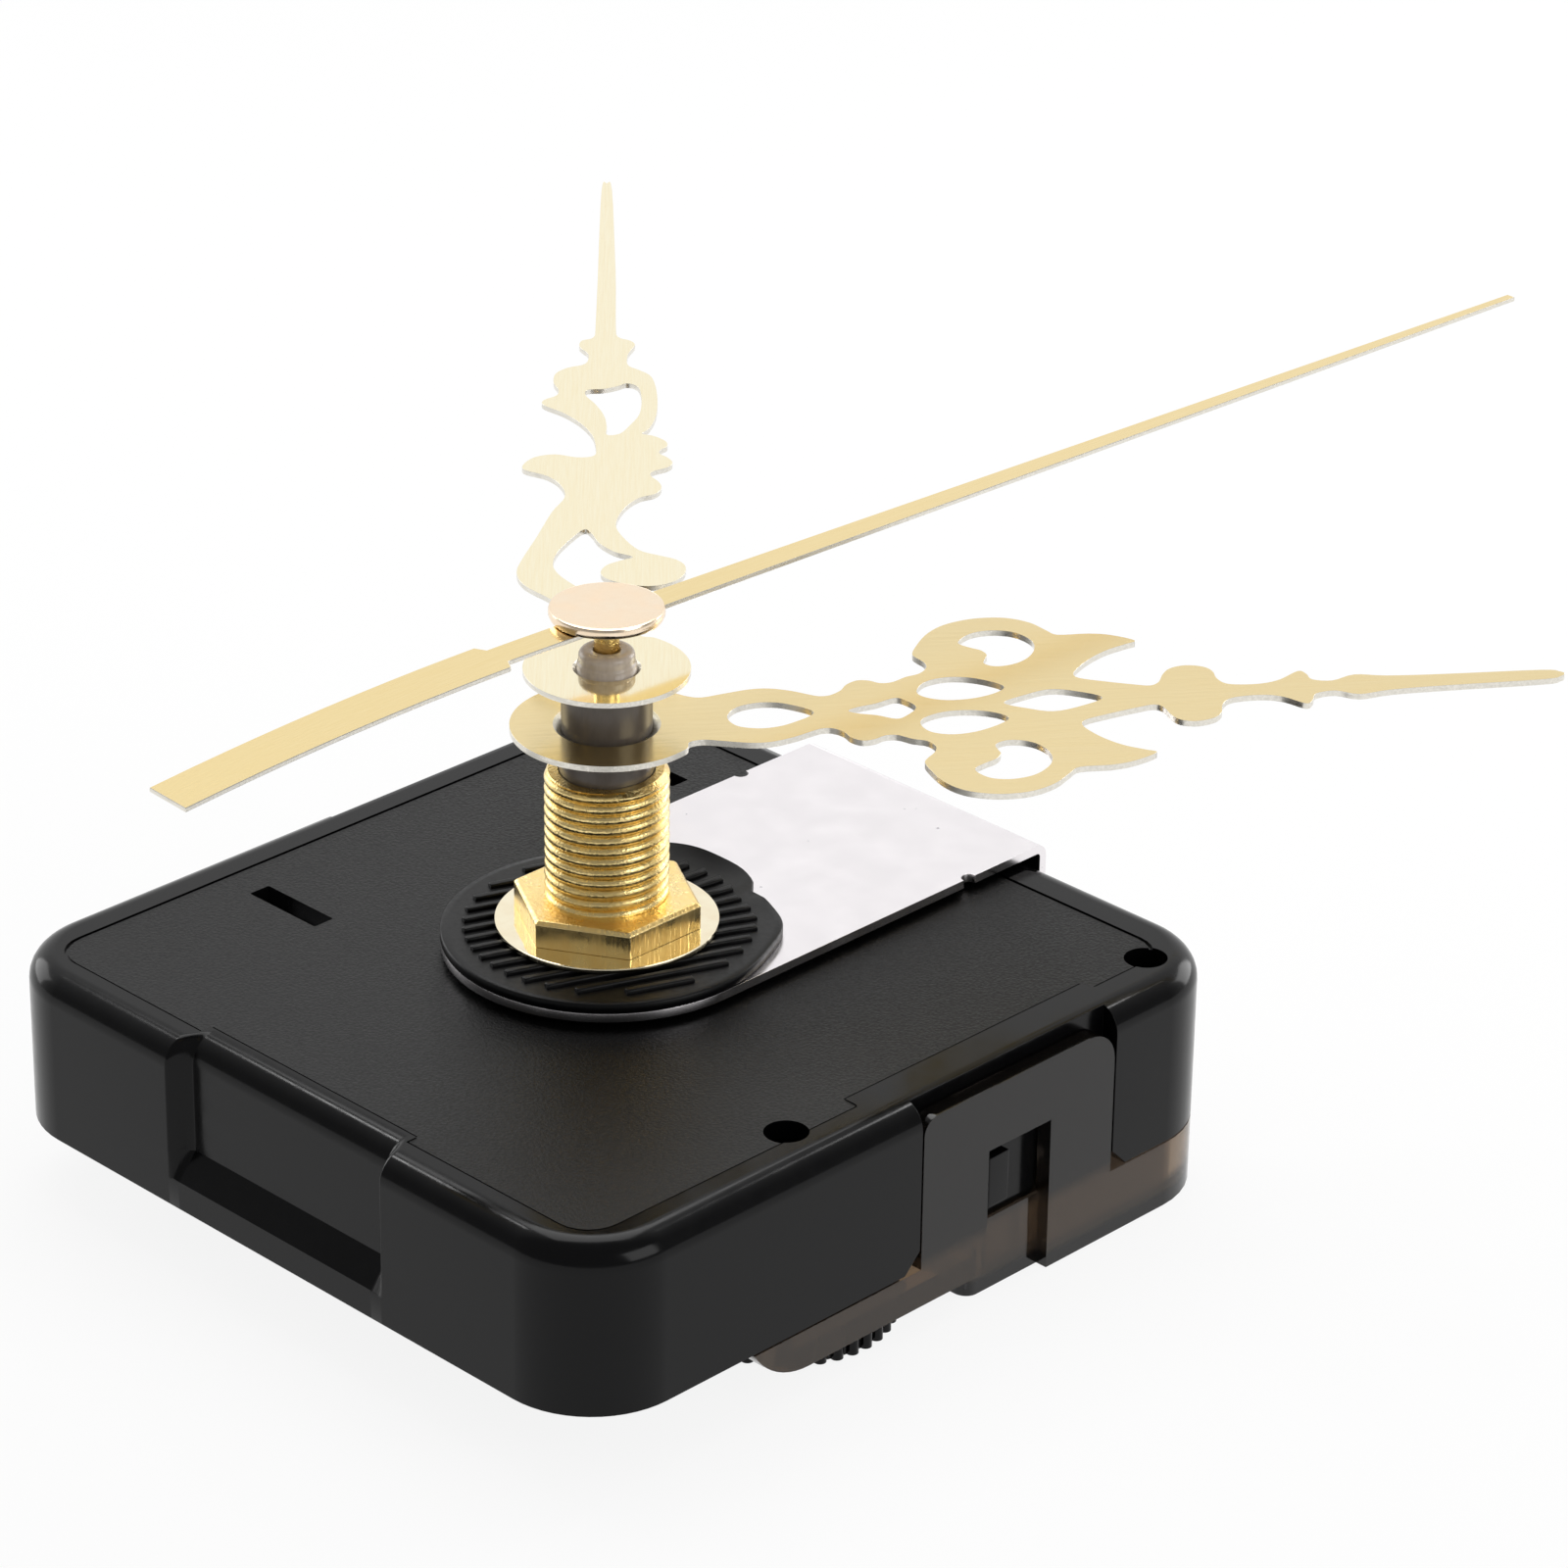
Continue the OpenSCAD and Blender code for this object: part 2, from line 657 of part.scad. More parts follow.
// HANGING PLATE
flange_y = far_y + 0.15;
bend_r = 0.9;
tab_z = 0.7;
hang_at = [0, flange_y + hanger_t + 6];
module hanging_plate() color("#dcdde0") {
    edge_y = flange_y + hanger_t;
    slab(boss_z, gasket_z)
        difference() {
            union() {
                circle(hanger_w / 2, $fn = 96);
                translate([-hanger_w / 2, 0])
                    square([hanger_w, edge_y - bend_r]);
            }
            circle(core_r + 0.15, $fn = 64);
            for (side = [-1, 1])
                translate([side * hanger_w / 2, 22.6])
                    circle(0.55, $fn = 32);
        }
    translate([-hanger_w / 2, edge_y - bend_r, gasket_z - bend_r])
        rotate([90, 0, 90])
            linear_extrude(hanger_w)
                difference() {
                    circle(bend_r, $fn = 48);
                    circle(bend_r - hanger_t, $fn = 48);
                    translate([-2 * bend_r, -2 * bend_r])
                        square([2 * bend_r, 4 * bend_r]);
                    translate([-2 * bend_r, -2 * bend_r])
                        square([4 * bend_r, 2 * bend_r]);
                }
    block([-hanger_w / 2, flange_y, tab_z + hanger_t], [hanger_w / 2, edge_y, gasket_z - bend_r]);
    slab(tab_z, tab_z + hanger_t)
        difference() {
            union() {
                translate([-hanger_w / 2, flange_y])
                    square([hanger_w, tab_l - 4]);
                translate([-hanger_w / 2 + 4, flange_y])
                    square([hanger_w - 8, tab_l]);
                for (side = [-1, 1])
                    translate([side * (hanger_w / 2 - 4), flange_y + tab_l - 4])
                        circle(4, $fn = 64);
            }
            translate(hang_at)
                circle(hang_hole_r, $fn = 64);
            translate([hang_at[0] - 1, hang_at[1]])
                square([2, hang_hole_r + 1]);
        }
}

// INSIDE THE CASE
module middle_plate() color("#e9e6dd")
    difference() {
        union() {
            slab(plate_z, plate_top)
                translate([-17.2, plate_near])
                    square([32.6, plate_far - plate_near]);
            rod(work_at, 0.95, plate_top - 0.1, 11.1);
            for (p = [[-14.4, 9.3], [-5.6, plate_far - 4.1]])
                rod(p, 1.2, core_z, plate_z + 0.1);
            for (p = [[11.6, 10.2], [11.4, plate_far - 1.7]])
                rod(p, 1.1, board_z + board_t, plate_z + 0.1);
        }
        for (p = posts)
            rod(p, 0.6 + seat_gap, plate_z - cut, plate_top + cut);
        rod([0, 0], 1.7, plate_z - cut, plate_top + cut);
        rod(third_at, pivot_r + run_gap, plate_z - cut, plate_top + cut);
        rod(inter_at, pivot_r + run_gap, plate_z - cut, plate_top + cut);
        rod(rotor_at, pivot_r + run_gap, plate_z - cut, plate_top + cut);
        rod(work_at, pivot_r + run_gap, plate_z - cut, 11.1 + cut);
    }

stator_left = [coil_x - core_l / 2, coil_x - winding_l / 2 - flange_t - 0.3];
stator_right = [coil_x + winding_l / 2 + flange_t + 0.3, coil_x + core_l / 2];
stator_far = coil_y + core_w / 2;
module stator() color("#8f9399")
    slab(stator_z, core_z)
        difference() {
            union() {
                translate(rotor_at)
                    circle(5.2, $fn = 64);
                translate([stator_left[0], rotor_at[1] - 4])
                    square([stator_left[1] - stator_left[0], stator_far - rotor_at[1] + 4]);
                translate([stator_left[0] + 1, rotor_at[1] - 4])
                    square([rotor_at[0] - stator_left[0] - 1, 8]);
                polygon([[rotor_at[0], rotor_at[1] + 5.1], [rotor_at[0] + 4.6, rotor_at[1] + 1.6],
                    [stator_right[1], stator_far - 7], [stator_right[1], stator_far],
                    [stator_right[0], stator_far], [stator_right[0], coil_y - flange_r - 0.6]]);
            }
            translate(rotor_at)
                circle(stator_hole_r, $fn = 64);
            translate([rotor_at[0] - 0.25, rotor_at[1] - 4.6])
                square([0.5, 9.2]);
        }

module coil_core() color("#a4a8ad")
    block([coil_x - core_l / 2, coil_y - core_w / 2, core_z], [coil_x + core_l / 2, coil_y + core_w / 2, core_z + stator_t]);

module along_coil(r, x0, x1) {
    translate([x0, coil_y, coil_z])
        rotate([0, 90, 0])
            cylinder(r = r, h = x1 - x0, $fn = 64);
}

coil_left = coil_x - winding_l / 2;
coil_right = coil_x + winding_l / 2;
former_r = 2;
module coil_former() color("#f0ece0")
    difference() {
        union() {
            along_coil(flange_r, coil_left - flange_t, coil_left);
            along_coil(flange_r, coil_right, coil_right + flange_t);
            along_coil(former_r, coil_left - 0.1, coil_right + 0.1);
        }
        block([coil_left - 2, coil_y - core_w / 2 - seat_gap, core_z - seat_gap],
            [coil_right + 2, coil_y + core_w / 2 + seat_gap, core_z + stator_t + seat_gap]);
    }

module coil_winding() color("#b5622c")
    difference() {
        along_coil(winding_r, coil_left + seat_gap, coil_right - seat_gap);
        along_coil(former_r + seat_gap, coil_left - cut, coil_right + cut);
    }

module circuit_board() color("#a9783f")
    slab(board_z, board_z + board_t)
        difference() {
            union() {
                translate([board_left, board_low])
                    square([board_right - board_left, board_high - board_low]);
                translate([arm_left, arm_low])
                    square([board_right - arm_left, board_low - arm_low + 0.1]);
            }
            translate(board_post)
                circle(0.6 + seat_gap, $fn = 48);
        }

module quartz_crystal() color("#c8cbd0")
    translate([12, 20, board_z - 1.05])
        rotate([0, 90, 0])
            cylinder(r = 1.05, h = 6.2, $fn = 48);

module chip_cover() color("#141416")
    difference() {
        translate([17.6, 13.4, board_z + 1])
            sphere(3, $fn = 48);
        block([10, 8, board_z], [25, 20, board_z + 5]);
    }

positive_x = right_x - wall - 0.05;
negative_x = left_x + wall + 0.05;
strip_low = board_z + board_t;
module positive_contact() color("#cfd2d6") {
    block([positive_x - strip_t, cell_y - 3.8, strip_low + 0.1], [positive_x, cell_y + 3.8, strip_low + 7]);
    block([positive_x - strip_t, cell_y + 3.7, strip_low + 0.1], [positive_x, arm_low + 1.6, strip_low + 2.8]);
    block([24.6, arm_low + 0.4, strip_low], [positive_x, arm_low + 1.6, strip_low + strip_t]);
}

leaf = [[0, 4.6], [0, 12.2], [0.5, 12.7], [1, 12.2], [1.5, 8.2], [1.2, 5.4]];
module negative_contact() color("#cfd2d6") {
    back = [for (i = [len(leaf) - 1 : -1 : 0]) leaf[i] + (i < 3 ? [strip_t, 0] : [-strip_t, 0])
        + (i == 2 ? [0, -strip_t] : [0, 0])];
    translate([negative_x, cell_y + 3.8, 0])
        rotate([90, 0, 0])
            linear_extrude(7.6)
                polygon(concat(leaf, [leaf[5] - [strip_t, 0], leaf[4] - [strip_t, 0], leaf[3] - [strip_t, 0.1],
                    leaf[2] - [0, strip_t], leaf[1] + [strip_t, -0.1], leaf[0] + [strip_t, 0]]));
    block([negative_x, cell_y + 3.7, strip_low + 0.1], [negative_x + strip_t, arm_low - 0.3, strip_low + 2]);
    block([negative_x, arm_low - 0.6, strip_low + 0.1], [arm_left + 1, arm_low - 0.3, strip_low + 2]);
    block([arm_left + 0.2, arm_low - 0.6, strip_low], [arm_left + 1.2, arm_low + 1.6, strip_low + strip_t]);
}

// MOTOR AND TRAIN
module rotor_magnet() color("#4b4e55")
    difference() {
        rod(rotor_at, magnet_r, 4.8, 6.8);
        rod(rotor_at, 0.8 + seat_gap, 4.8 - cut, 6.8 + cut);
    }

module rotor_pinion() color("#f3f1ea") {
    toothed(rotor_at, rotor_teeth, rotor_m, rotor_turn, 2.9, 4.5);
    rod(rotor_at, 0.8, 4.4, 6.9);
    rod(rotor_at, pivot_r, 1.7, plate_top - 0.1);
}

module intermediate_wheel() color("#f3f1ea") {
    difference() {
        toothed(inter_at, inter_teeth, rotor_m, inter_wheel_turn, inter_z, inter_z + wheel_t);
        windows(inter_at, 1.6, 5, inter_z, inter_z + wheel_t);
    }
    toothed(inter_at, inter_leaves, inter_m, inter_leaf_turn, inter_z + wheel_t - 0.1, 6.9);
    rod(inter_at, pivot_r, 1.8, plate_top - 0.1);
}

module second_wheel() color("#f3f1ea")
    difference() {
        union() {
            difference() {
                toothed([0, 0], second_teeth, inter_m, second_wheel_turn, second_z, second_z + wheel_t);
                windows([0, 0], 1.6, 5.4, second_z, second_z + wheel_t);
            }
            rod([0, 0], 1, 4.8, plate_top + 0.4);
            toothed([0, 0], second_leaves, third_m, second_wheel_turn, plate_top + 0.2, 9.9);
        }
        rod([0, 0], second_arbor_r + seat_gap, 4, 11);
    }

minute_top_z = face_z + minute_hand_z + 1.3;
post_low_z = minute_top_z - 0.45;
module second_arbor() color("#b9bcc2")
    rod([0, 0], second_arbor_r, 2.1, face_z + second_hand_z - 0.2);

module third_wheel() color("#f3f1ea")
    difference() {
        union() {
            difference() {
                toothed(third_at, third_teeth, third_m, third_wheel_turn, third_z, third_z + wheel_t);
                windows(third_at, 1.6, 7, third_z, third_z + wheel_t);
            }
            toothed(third_at, third_leaves, centre_m, third_leaf_turn, third_z + wheel_t - 0.1, 11.6);
        }
        rod(third_at, arbor_r + seat_gap, third_z - cut, 11.6 + cut);
    }

module third_arbor() color("#b9bcc2") {
    rod(third_at, arbor_r, plate_top + 0.1, 12.9);
    rod(third_at, pivot_r, plate_z + 0.1, plate_top + 0.2);
}

module centre_wheel() color("#f3f1ea")
    difference() {
        toothed([0, 0], centre_teeth, centre_m, centre_turn, centre_z, centre_z + wheel_t);
        windows([0, 0], 3.2, 7.6, centre_z, centre_z + wheel_t);
        rod([0, 0], minute_tube_r + run_gap, centre_z - cut, centre_z + wheel_t + cut);
    }

module clutch_spring() color("#c9a24a")
    slab(clutch_z, clutch_z + 0.2)
        difference() {
            union() {
                circle(3.1, $fn = 64);
                for (a = [0 : 120 : 240])
                    rotate(a)
                        translate([2, -0.5])
                            square([3.2, 1]);
            }
            circle(minute_tube_r + seat_gap, $fn = 64);
        }

minute_shoulder_z = face_z + minute_hand_z - minute_hand_t;
minute_bore_r = second_arbor_r + run_gap;
module minute_tube() color("#b9b3aa")
    difference() {
        union() {
            rod([0, 0], minute_tube_r, centre_z - 0.1, minute_shoulder_z);
            rod([0, 0], minute_seat_r, minute_shoulder_z - 0.1, minute_top_z);
            toothed([0, 0], cannon_teeth, cannon_m, cannon_turn, cannon_z, 12.8);
        }
        rod([0, 0], minute_bore_r, centre_z - 1, minute_top_z + cut);
        rod([0, 0], post_r + run_gap, post_low_z - 0.15, minute_top_z + cut);
    }

module minute_work_wheel() color("#f3f1ea")
    difference() {
        union() {
            difference() {
                toothed(work_at, work_teeth, cannon_m, work_turn, work_z, work_z + wheel_t);
                windows(work_at, 2.8, 6.6, work_z, work_z + wheel_t);
            }
            toothed(work_at, work_leaves, hour_m, work_leaf_turn, work_leaf_z - 0.1, 14.2);
        }
        rod(work_at, arbor_r + seat_gap, work_z - cut, 15);
    }

module minute_work_arbor() color("#b9bcc2") {
    rod(work_at, arbor_r, 11.2, 15.1);
    rod(work_at, pivot_r, plate_z + 0.2, 11.3);
}

hour_top_z = minute_shoulder_z - 0.8;
hour_shoulder_z = face_z + hour_hand_z - hour_hand_t;
hour_seat_r = hour_tube_r - 0.15;
module hour_wheel() color("#8f8a83")
    difference() {
        union() {
            toothed([0, 0], hour_teeth, hour_m, hour_wheel_turn, hour_z, hour_z + hour_wheel_t);
            rod([0, 0], hour_tube_r, hour_z + 0.1, hour_shoulder_z);
            rod([0, 0], hour_seat_r, hour_shoulder_z - 0.1, hour_top_z);
        }
        windows([0, 0], 3.8, 7.4, hour_z, hour_z + hour_wheel_t);
        rod([0, 0], minute_tube_r + run_gap, hour_z - cut, hour_top_z + cut);
    }

knob_z = 0.2;
knob_t = knob_recess - 0.4;
rib_r = 0.42;
module setting_knob() color("#1b1b1d") {
    slab(knob_z, knob_z + knob_t)
        translate(knob_at) {
            circle(knob_r - rib_r, $fn = 96);
            for (i = [0 : knob_ribs - 1])
                rotate((i + 0.3) * 360 / knob_ribs)
                    translate([knob_r - rib_r, 0])
                        circle(rib_r, $fn = 16);
        }
    rod(knob_at, 1.5, knob_z + knob_t - 0.1, 14.2);
    toothed(knob_at, setting_teeth, setting_m, setting_turn, work_z - 0.2, 12.6);
    rod(knob_at, 0.8, 14.1, 15.1);
}

// HANDS
hand_lean = 0.115;
function lean(p) = [p[0] + hand_lean * p[1], p[1]];
function unlean(p) = [p[0] - hand_lean * p[1], p[1]];
// Points round the hub ring, from the lower side of the arm to its upper side
function ring(r, from, count) = [for (k = [1 : count]) spot(r, -from - k * (360 - 2 * from) / (count + 1))];
function mirror_v(p) = [for (i = [len(p) - 1 : -1 : 0]) [p[i][0], -p[i][1]]];
// One side of the hour hand, from its round end to its point
hour_side = [[5.2, 3.3], [6.1, 3.05], [7.4, 3.4], [9.1, 3.85], [10.4, 3.85], [11.8, 3.35], [12.9, 2.7],
    [13.6, 2.35], [14.3, 2.4], [15, 3], [15.4, 3.8], [16.1, 4.35], [16.9, 4.25], [17.6, 3.8], [18.4, 3.85],
    [19.3, 4.5], [20.2, 4.9], [20.7, 5.7], [20.6, 6.5], [20.1, 7.3], [19.9, 7.9], [20.2, 9], [20.9, 10.6],
    [21.9, 11.8], [23.2, 12.5], [24.7, 12.8], [26.4, 12.6], [27.9, 11.7], [28.9, 10.4], [29.6, 9.65],
    [31.6, 9.6], [33.1, 9.2], [34.6, 8.2], [33.9, 7.7], [32.7, 7], [31.6, 6], [30.7, 4.8], [30.2, 3.75],
    [30.5, 3.05], [32.1, 2.35], [33.9, 1.7], [35, 1.4], [35.6, 1.85], [35.95, 2.9], [36.5, 3.75],
    [37.55, 4.1], [38.7, 3.75], [39.25, 3], [39.4, 2], [39.9, 1.15], [40.9, 0.85], [42.3, 0.85],
    [43.5, 1.3], [44.8, 2.4], [45.3, 1.9], [45.6, 1.05], [46.9, 0.75], [48.4, 1.45], [50.5, 1.05],
    [54, 0.85], [60.6, 0.7], [61.8, 0.35]];
hour_tip = [62.1, 0];
// Openings of the hour hand: the first three lie on its middle line
hour_eye = [[7.65, 0], [8.1, 1.15], [9, 1.7], [10.2, 1.85], [11.6, 1.4]];
hour_eye_end = [13.2, 0];
hour_diamond = [[15.4, 0], [16, 0.45], [17.2, 0.85], [18.4, 1.5], [19.1, 1.1]];
hour_diamond_end = [19.75, 0];
hour_lozenge = [[25.4, 0], [26.9, 1], [28.5, 1.6], [30.2, 1.1]];
hour_lozenge_end = [31.8, 0];
hour_petal = [[19.9, 2.3], [20.5, 3.6], [22, 4.15], [23.8, 3.75], [25.5, 2.5], [25.1, 1.6], [23.6, 0.9],
    [21.8, 0.8], [20.4, 1.4]];
hour_crescent = [[23, 9.1], [23.3, 9.9], [24.1, 10.6], [25.4, 10.8], [26.8, 10.3], [27.8, 9], [27.9, 7.6],
    [27.3, 6.3], [26.3, 5.55], [25.2, 5.4], [24.5, 5.9], [24.6, 6.6], [24.75, 7.2], [24.4, 7.9], [23.7, 8.4]];

module leaning(points) {
    polygon([for (p = smooth(points, 4)) lean(p)]);
}

module hour_plan() {
    difference() {
        leaning(concat(hour_side, [hour_tip], mirror_v(hour_side), [for (p = ring(hour_ring_r, 32, 30)) unlean(p)]));
        circle(hour_seat_r + seat_gap, $fn = 64);
        leaning(concat(hour_eye, [hour_eye_end], mirror_v([for (i = [1 : 4]) hour_eye[i]])));
        leaning(concat(hour_diamond, [hour_diamond_end], mirror_v([for (i = [1 : 4]) hour_diamond[i]])));
        leaning(concat(hour_lozenge, [hour_lozenge_end], mirror_v([for (i = [1 : 3]) hour_lozenge[i]])));
        leaning(hour_petal);
        leaning(mirror_v(hour_petal));
        leaning(hour_crescent);
        leaning(mirror_v(hour_crescent));
    }
}

// The hole of a hand widens towards its upper face
module hand_entry(r, top, deep, out) {
    translate([0, 0, top - deep])
        cylinder(r1 = r, r2 = r + out, h = deep, $fn = 64);
    rod([0, 0], r + out, top - 0.01, top + cut);
}

module hour_hand() color("#d8b876")
    difference() {
        slab(face_z + hour_hand_z - hour_hand_t, face_z + hour_hand_z)
            rotate(hour_turn)
                hour_plan();
        hand_entry(hour_seat_r + seat_gap, face_z + hour_hand_z, hour_hand_t - 0.1, 0.5);
    }

minute_edge = [[4.7, 2.1], [6.5, 1.9], [8.5, 2.5], [10.3, 3.7], [12.3, 5.3], [14.3, 5.85], [16.5, 5.5],
    [20, 4.6], [24, 3.65], [26.5, 2.8], [28.5, 3.1], [30, 4], [31, 5.5], [31.9, 5.65], [33.2, 4.9],
    [33.7, 3.5], [33.2, 2], [33.5, 0.85], [35, 0.75], [37, 1], [39, 1.75], [40.8, 2.9], [42.3, 4.35],
    [43.2, 4.35], [44, 3.5], [45, 3.35], [46.3, 3.7], [47.9, 3.6], [49, 2.8], [49.8, 1.5], [51.5, 1.3],
    [52.5, 1.75], [53.2, 1.95], [54.1, 1.75], [54.7, 0.95], [57, 0.8], [67, 0.65], [84, 0.4], [85.5, 0],
    [84, -0.4], [67, -0.65], [57, -0.65], [54.8, -0.8], [54.1, -1.65], [53.3, -2], [52.3, -1.7],
    [51.2, -1.45], [49.5, -1.5], [48.6, -2.3], [47.3, -3.15], [44, -3.5], [40.5, -3.4], [38.2, -2.9],
    [37.3, -2.4], [36.9, -3.2], [36, -4], [35.1, -4.1], [34.4, -3.6], [33.8, -3.6], [33.2, -4.1],
    [32.3, -4.45], [31.5, -4.1], [30.8, -3.1], [30.1, -2.95], [29, -3.5], [28, -3.65], [27, -3.2],
    [26.3, -2.1], [24.5, -1.1], [22, -0.6], [20, -1.05], [17.9, -2.1], [17, -3.5], [16.4, -4.5],
    [15.4, -5.1], [14, -5], [12.8, -4.2], [12.2, -2.7], [12.6, -1.1], [13.4, 0.05], [14.4, 0.4],
    [15.5, 0], [16.3, -1], [16.8, -1.7], [17.6, -0.5], [19, 0.5], [20.4, 0.95], [21.2, 1.45], [20, 2.2],
    [17.6, 3.2], [15.6, 3.5], [14, 3.1], [12.2, 2], [10.4, 0.6], [8.5, -0.9], [6.5, -1.8], [4.7, -2.1]];
minute_opening = [[37.1, 0], [38.5, 0], [40.5, 0.2], [42.5, 0.8], [44, 1.45], [45, 1.35], [45.2, 0.2],
    [45.7, -0.75], [46.2, -1.4], [45.7, -2.1], [44.5, -2.35], [42.5, -2.4], [40.5, -2.2], [38.8, -1.6], [37.3, -0.9]];

module minute_plan() {
    difference() {
        polygon(smooth(concat(minute_edge, ring(minute_ring_r, 24, 30)), 4));
        circle(minute_seat_r + seat_gap, $fn = 64);
        polygon(smooth(minute_opening, 4));
    }
}

module minute_hand() color("#e2c88f")
    difference() {
        slab(face_z + minute_hand_z - minute_hand_t, face_z + minute_hand_z)
            rotate(minute_turn)
                minute_plan();
        hand_entry(minute_seat_r + seat_gap, face_z + minute_hand_z, minute_hand_t - 0.1, 0.25);
    }

tail_w = 3.6;
neck_w = 2.1;
neck_l = 8.8;
tip_w = 0.7;
post_r = 0.8;
module second_hand() color("#d2ac68")
    slab(face_z + second_hand_z - second_hand_t, face_z + second_hand_z)
        rotate(second_turn)
            difference() {
                polygon([[-second_tail, -tail_w / 2], [-neck_l - 0.4, -tail_w / 2], [-neck_l, -neck_w / 2],
                    [3, -neck_w / 2], [second_reach, -tip_w / 2], [second_reach, tip_w / 2],
                    [3, neck_w / 2], [-neck_l, neck_w / 2], [-neck_l - 0.4, tail_w / 2], [-second_tail, tail_w / 2]]);
                circle(post_r + seat_gap, $fn = 48);
            }

cap_t = 0.8;
cap_bevel = 0.35;
module second_cap() color("#dfae8e")
    translate([0, 0, face_z + second_hand_z])
        rotate_extrude($fn = 96)
            polygon([[0, 0], [cap_d / 2 - 0.3, 0], [cap_d / 2, 0.25], [cap_d / 2, cap_t - cap_bevel],
                [cap_d / 2 - cap_bevel, cap_t], [0, cap_t]]);

module second_post() color("#b98a3e")
    difference() {
        rod([0, 0], post_r, post_low_z, face_z + second_hand_z);
        rod([0, 0], second_arbor_r + seat_gap, post_low_z - cut, face_z + second_hand_z - 0.1);
    }

union() {
    front_case();
    both_catches();
}
back_cover();
threaded_bush();
hex_nut();
flat_washer();
rubber_gasket();
hanging_plate();
middle_plate();
stator();
coil_core();
coil_former();
coil_winding();
circuit_board();
quartz_crystal();
chip_cover();
positive_contact();
negative_contact();
rotor_magnet();
rotor_pinion();
intermediate_wheel();
second_wheel();
second_arbor();
third_wheel();
third_arbor();
centre_wheel();
clutch_spring();
minute_tube();
minute_work_wheel();
minute_work_arbor();
hour_wheel();
setting_knob();
hour_hand();
minute_hand();
second_hand();
second_cap();
second_post();
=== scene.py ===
# %% [markdown]
# Clock movement with hanging plate and three hands.
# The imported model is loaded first. It gives every part its place, and all sizes below are in its frame:
# Z runs along the shaft towards the dial, Y points to twelve o'clock and X to three o'clock.

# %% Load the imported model
import math
import bmesh
import bpy
from mathutils import Matrix, Vector


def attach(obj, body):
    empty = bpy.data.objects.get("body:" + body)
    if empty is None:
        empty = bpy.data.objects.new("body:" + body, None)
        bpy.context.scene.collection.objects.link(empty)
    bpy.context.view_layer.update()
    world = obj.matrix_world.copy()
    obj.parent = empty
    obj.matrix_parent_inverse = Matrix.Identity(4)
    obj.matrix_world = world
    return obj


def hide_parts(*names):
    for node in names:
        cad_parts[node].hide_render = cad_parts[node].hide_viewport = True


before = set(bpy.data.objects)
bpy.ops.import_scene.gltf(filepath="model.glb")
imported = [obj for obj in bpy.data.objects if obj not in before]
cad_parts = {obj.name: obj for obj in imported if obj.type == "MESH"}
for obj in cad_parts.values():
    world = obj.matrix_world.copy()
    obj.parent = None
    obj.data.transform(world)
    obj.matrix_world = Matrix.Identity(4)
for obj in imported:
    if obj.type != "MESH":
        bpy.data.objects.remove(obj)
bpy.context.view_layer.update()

# %% [markdown]
# Sizes are written in millimetres, as on a drawing, and turned into metres where a mesh is made.
# A modelling operator acts on all that is selected, so each step first selects just the piece
# that it works on.

# %% Units and selection
MM = 0.001


def only(*pieces):
    """Selects these objects and nothing else. The last one becomes the active one."""
    bpy.ops.object.select_all(action="DESELECT")
    for piece in pieces:
        piece.select_set(True)
    bpy.context.view_layer.objects.active = pieces[-1]


def seat(piece, name):
    """Names a new primitive and puts its place and size into its mesh."""
    piece.name = name
    only(piece)
    bpy.ops.object.transform_apply(location=True, rotation=True, scale=True)
    return piece


def pick(piece, test, kind="EDGE"):
    """In edit mode, selects the edges or faces for which the test is true."""
    only(piece)
    bpy.ops.object.mode_set(mode="EDIT")
    bpy.ops.mesh.select_mode(type=kind)
    bpy.ops.mesh.select_all(action="DESELECT")
    mesh = bmesh.from_edit_mesh(piece.data)
    for item in mesh.edges if kind == "EDGE" else mesh.faces:
        if test(item):
            item.select_set(True)
    bmesh.update_edit_mesh(piece.data)


def leave_edit():
    bpy.ops.object.mode_set(mode="OBJECT")


# %% [markdown]
# Most moulded and turned parts start as a block, a rod or a flat plate.
# A plate is a filled circle whose corners are moved to an outline, which is then extruded to its thickness.

# %% Primitives at their real size
def block(low, high, name="tool"):
    middle = [(a + b) / 2 * MM for a, b in zip(low, high)]
    size = [(b - a) * MM for a, b in zip(low, high)]
    bpy.ops.mesh.primitive_cube_add(size=1, location=middle, scale=size)
    return seat(bpy.context.object, name)


def side_block(inner, outer, y0, y1, z0, z1):
    """A block between two X places, given in any order, so that one line can serve both sides."""
    return block((min(inner, outer), y0, z0), (max(inner, outer), y1, z1))


def rod(at, radius, low, high, name="tool", sides=64):
    bpy.ops.mesh.primitive_cylinder_add(vertices=sides, radius=radius * MM, depth=(high - low) * MM,
                                        location=(at[0] * MM, at[1] * MM, (low + high) / 2 * MM))
    return seat(bpy.context.object, name)


def flat(u, v, w):
    return (u, v, w)


def side_on(u, v, w):
    """An outline drawn in Y and Z, with its thickness along X."""
    return (w, u, v)


def plate(outline, low, high, place=flat, name="tool"):
    bpy.ops.mesh.primitive_circle_add(vertices=len(outline), radius=1, fill_type="NGON")
    piece = seat(bpy.context.object, name)
    for corner, (u, v) in zip(piece.data.vertices, outline):
        corner.co = Vector(place(u, v, low)) * MM
    lift = (Vector(place(0, 0, high)) - Vector(place(0, 0, low))) * MM
    pick(piece, lambda face: True, "FACE")
    bpy.ops.mesh.extrude_region_move(TRANSFORM_OT_translate={"value": lift})
    bpy.ops.mesh.select_all(action="SELECT")
    bpy.ops.mesh.normals_make_consistent(inside=False)
    leave_edit()
    return piece


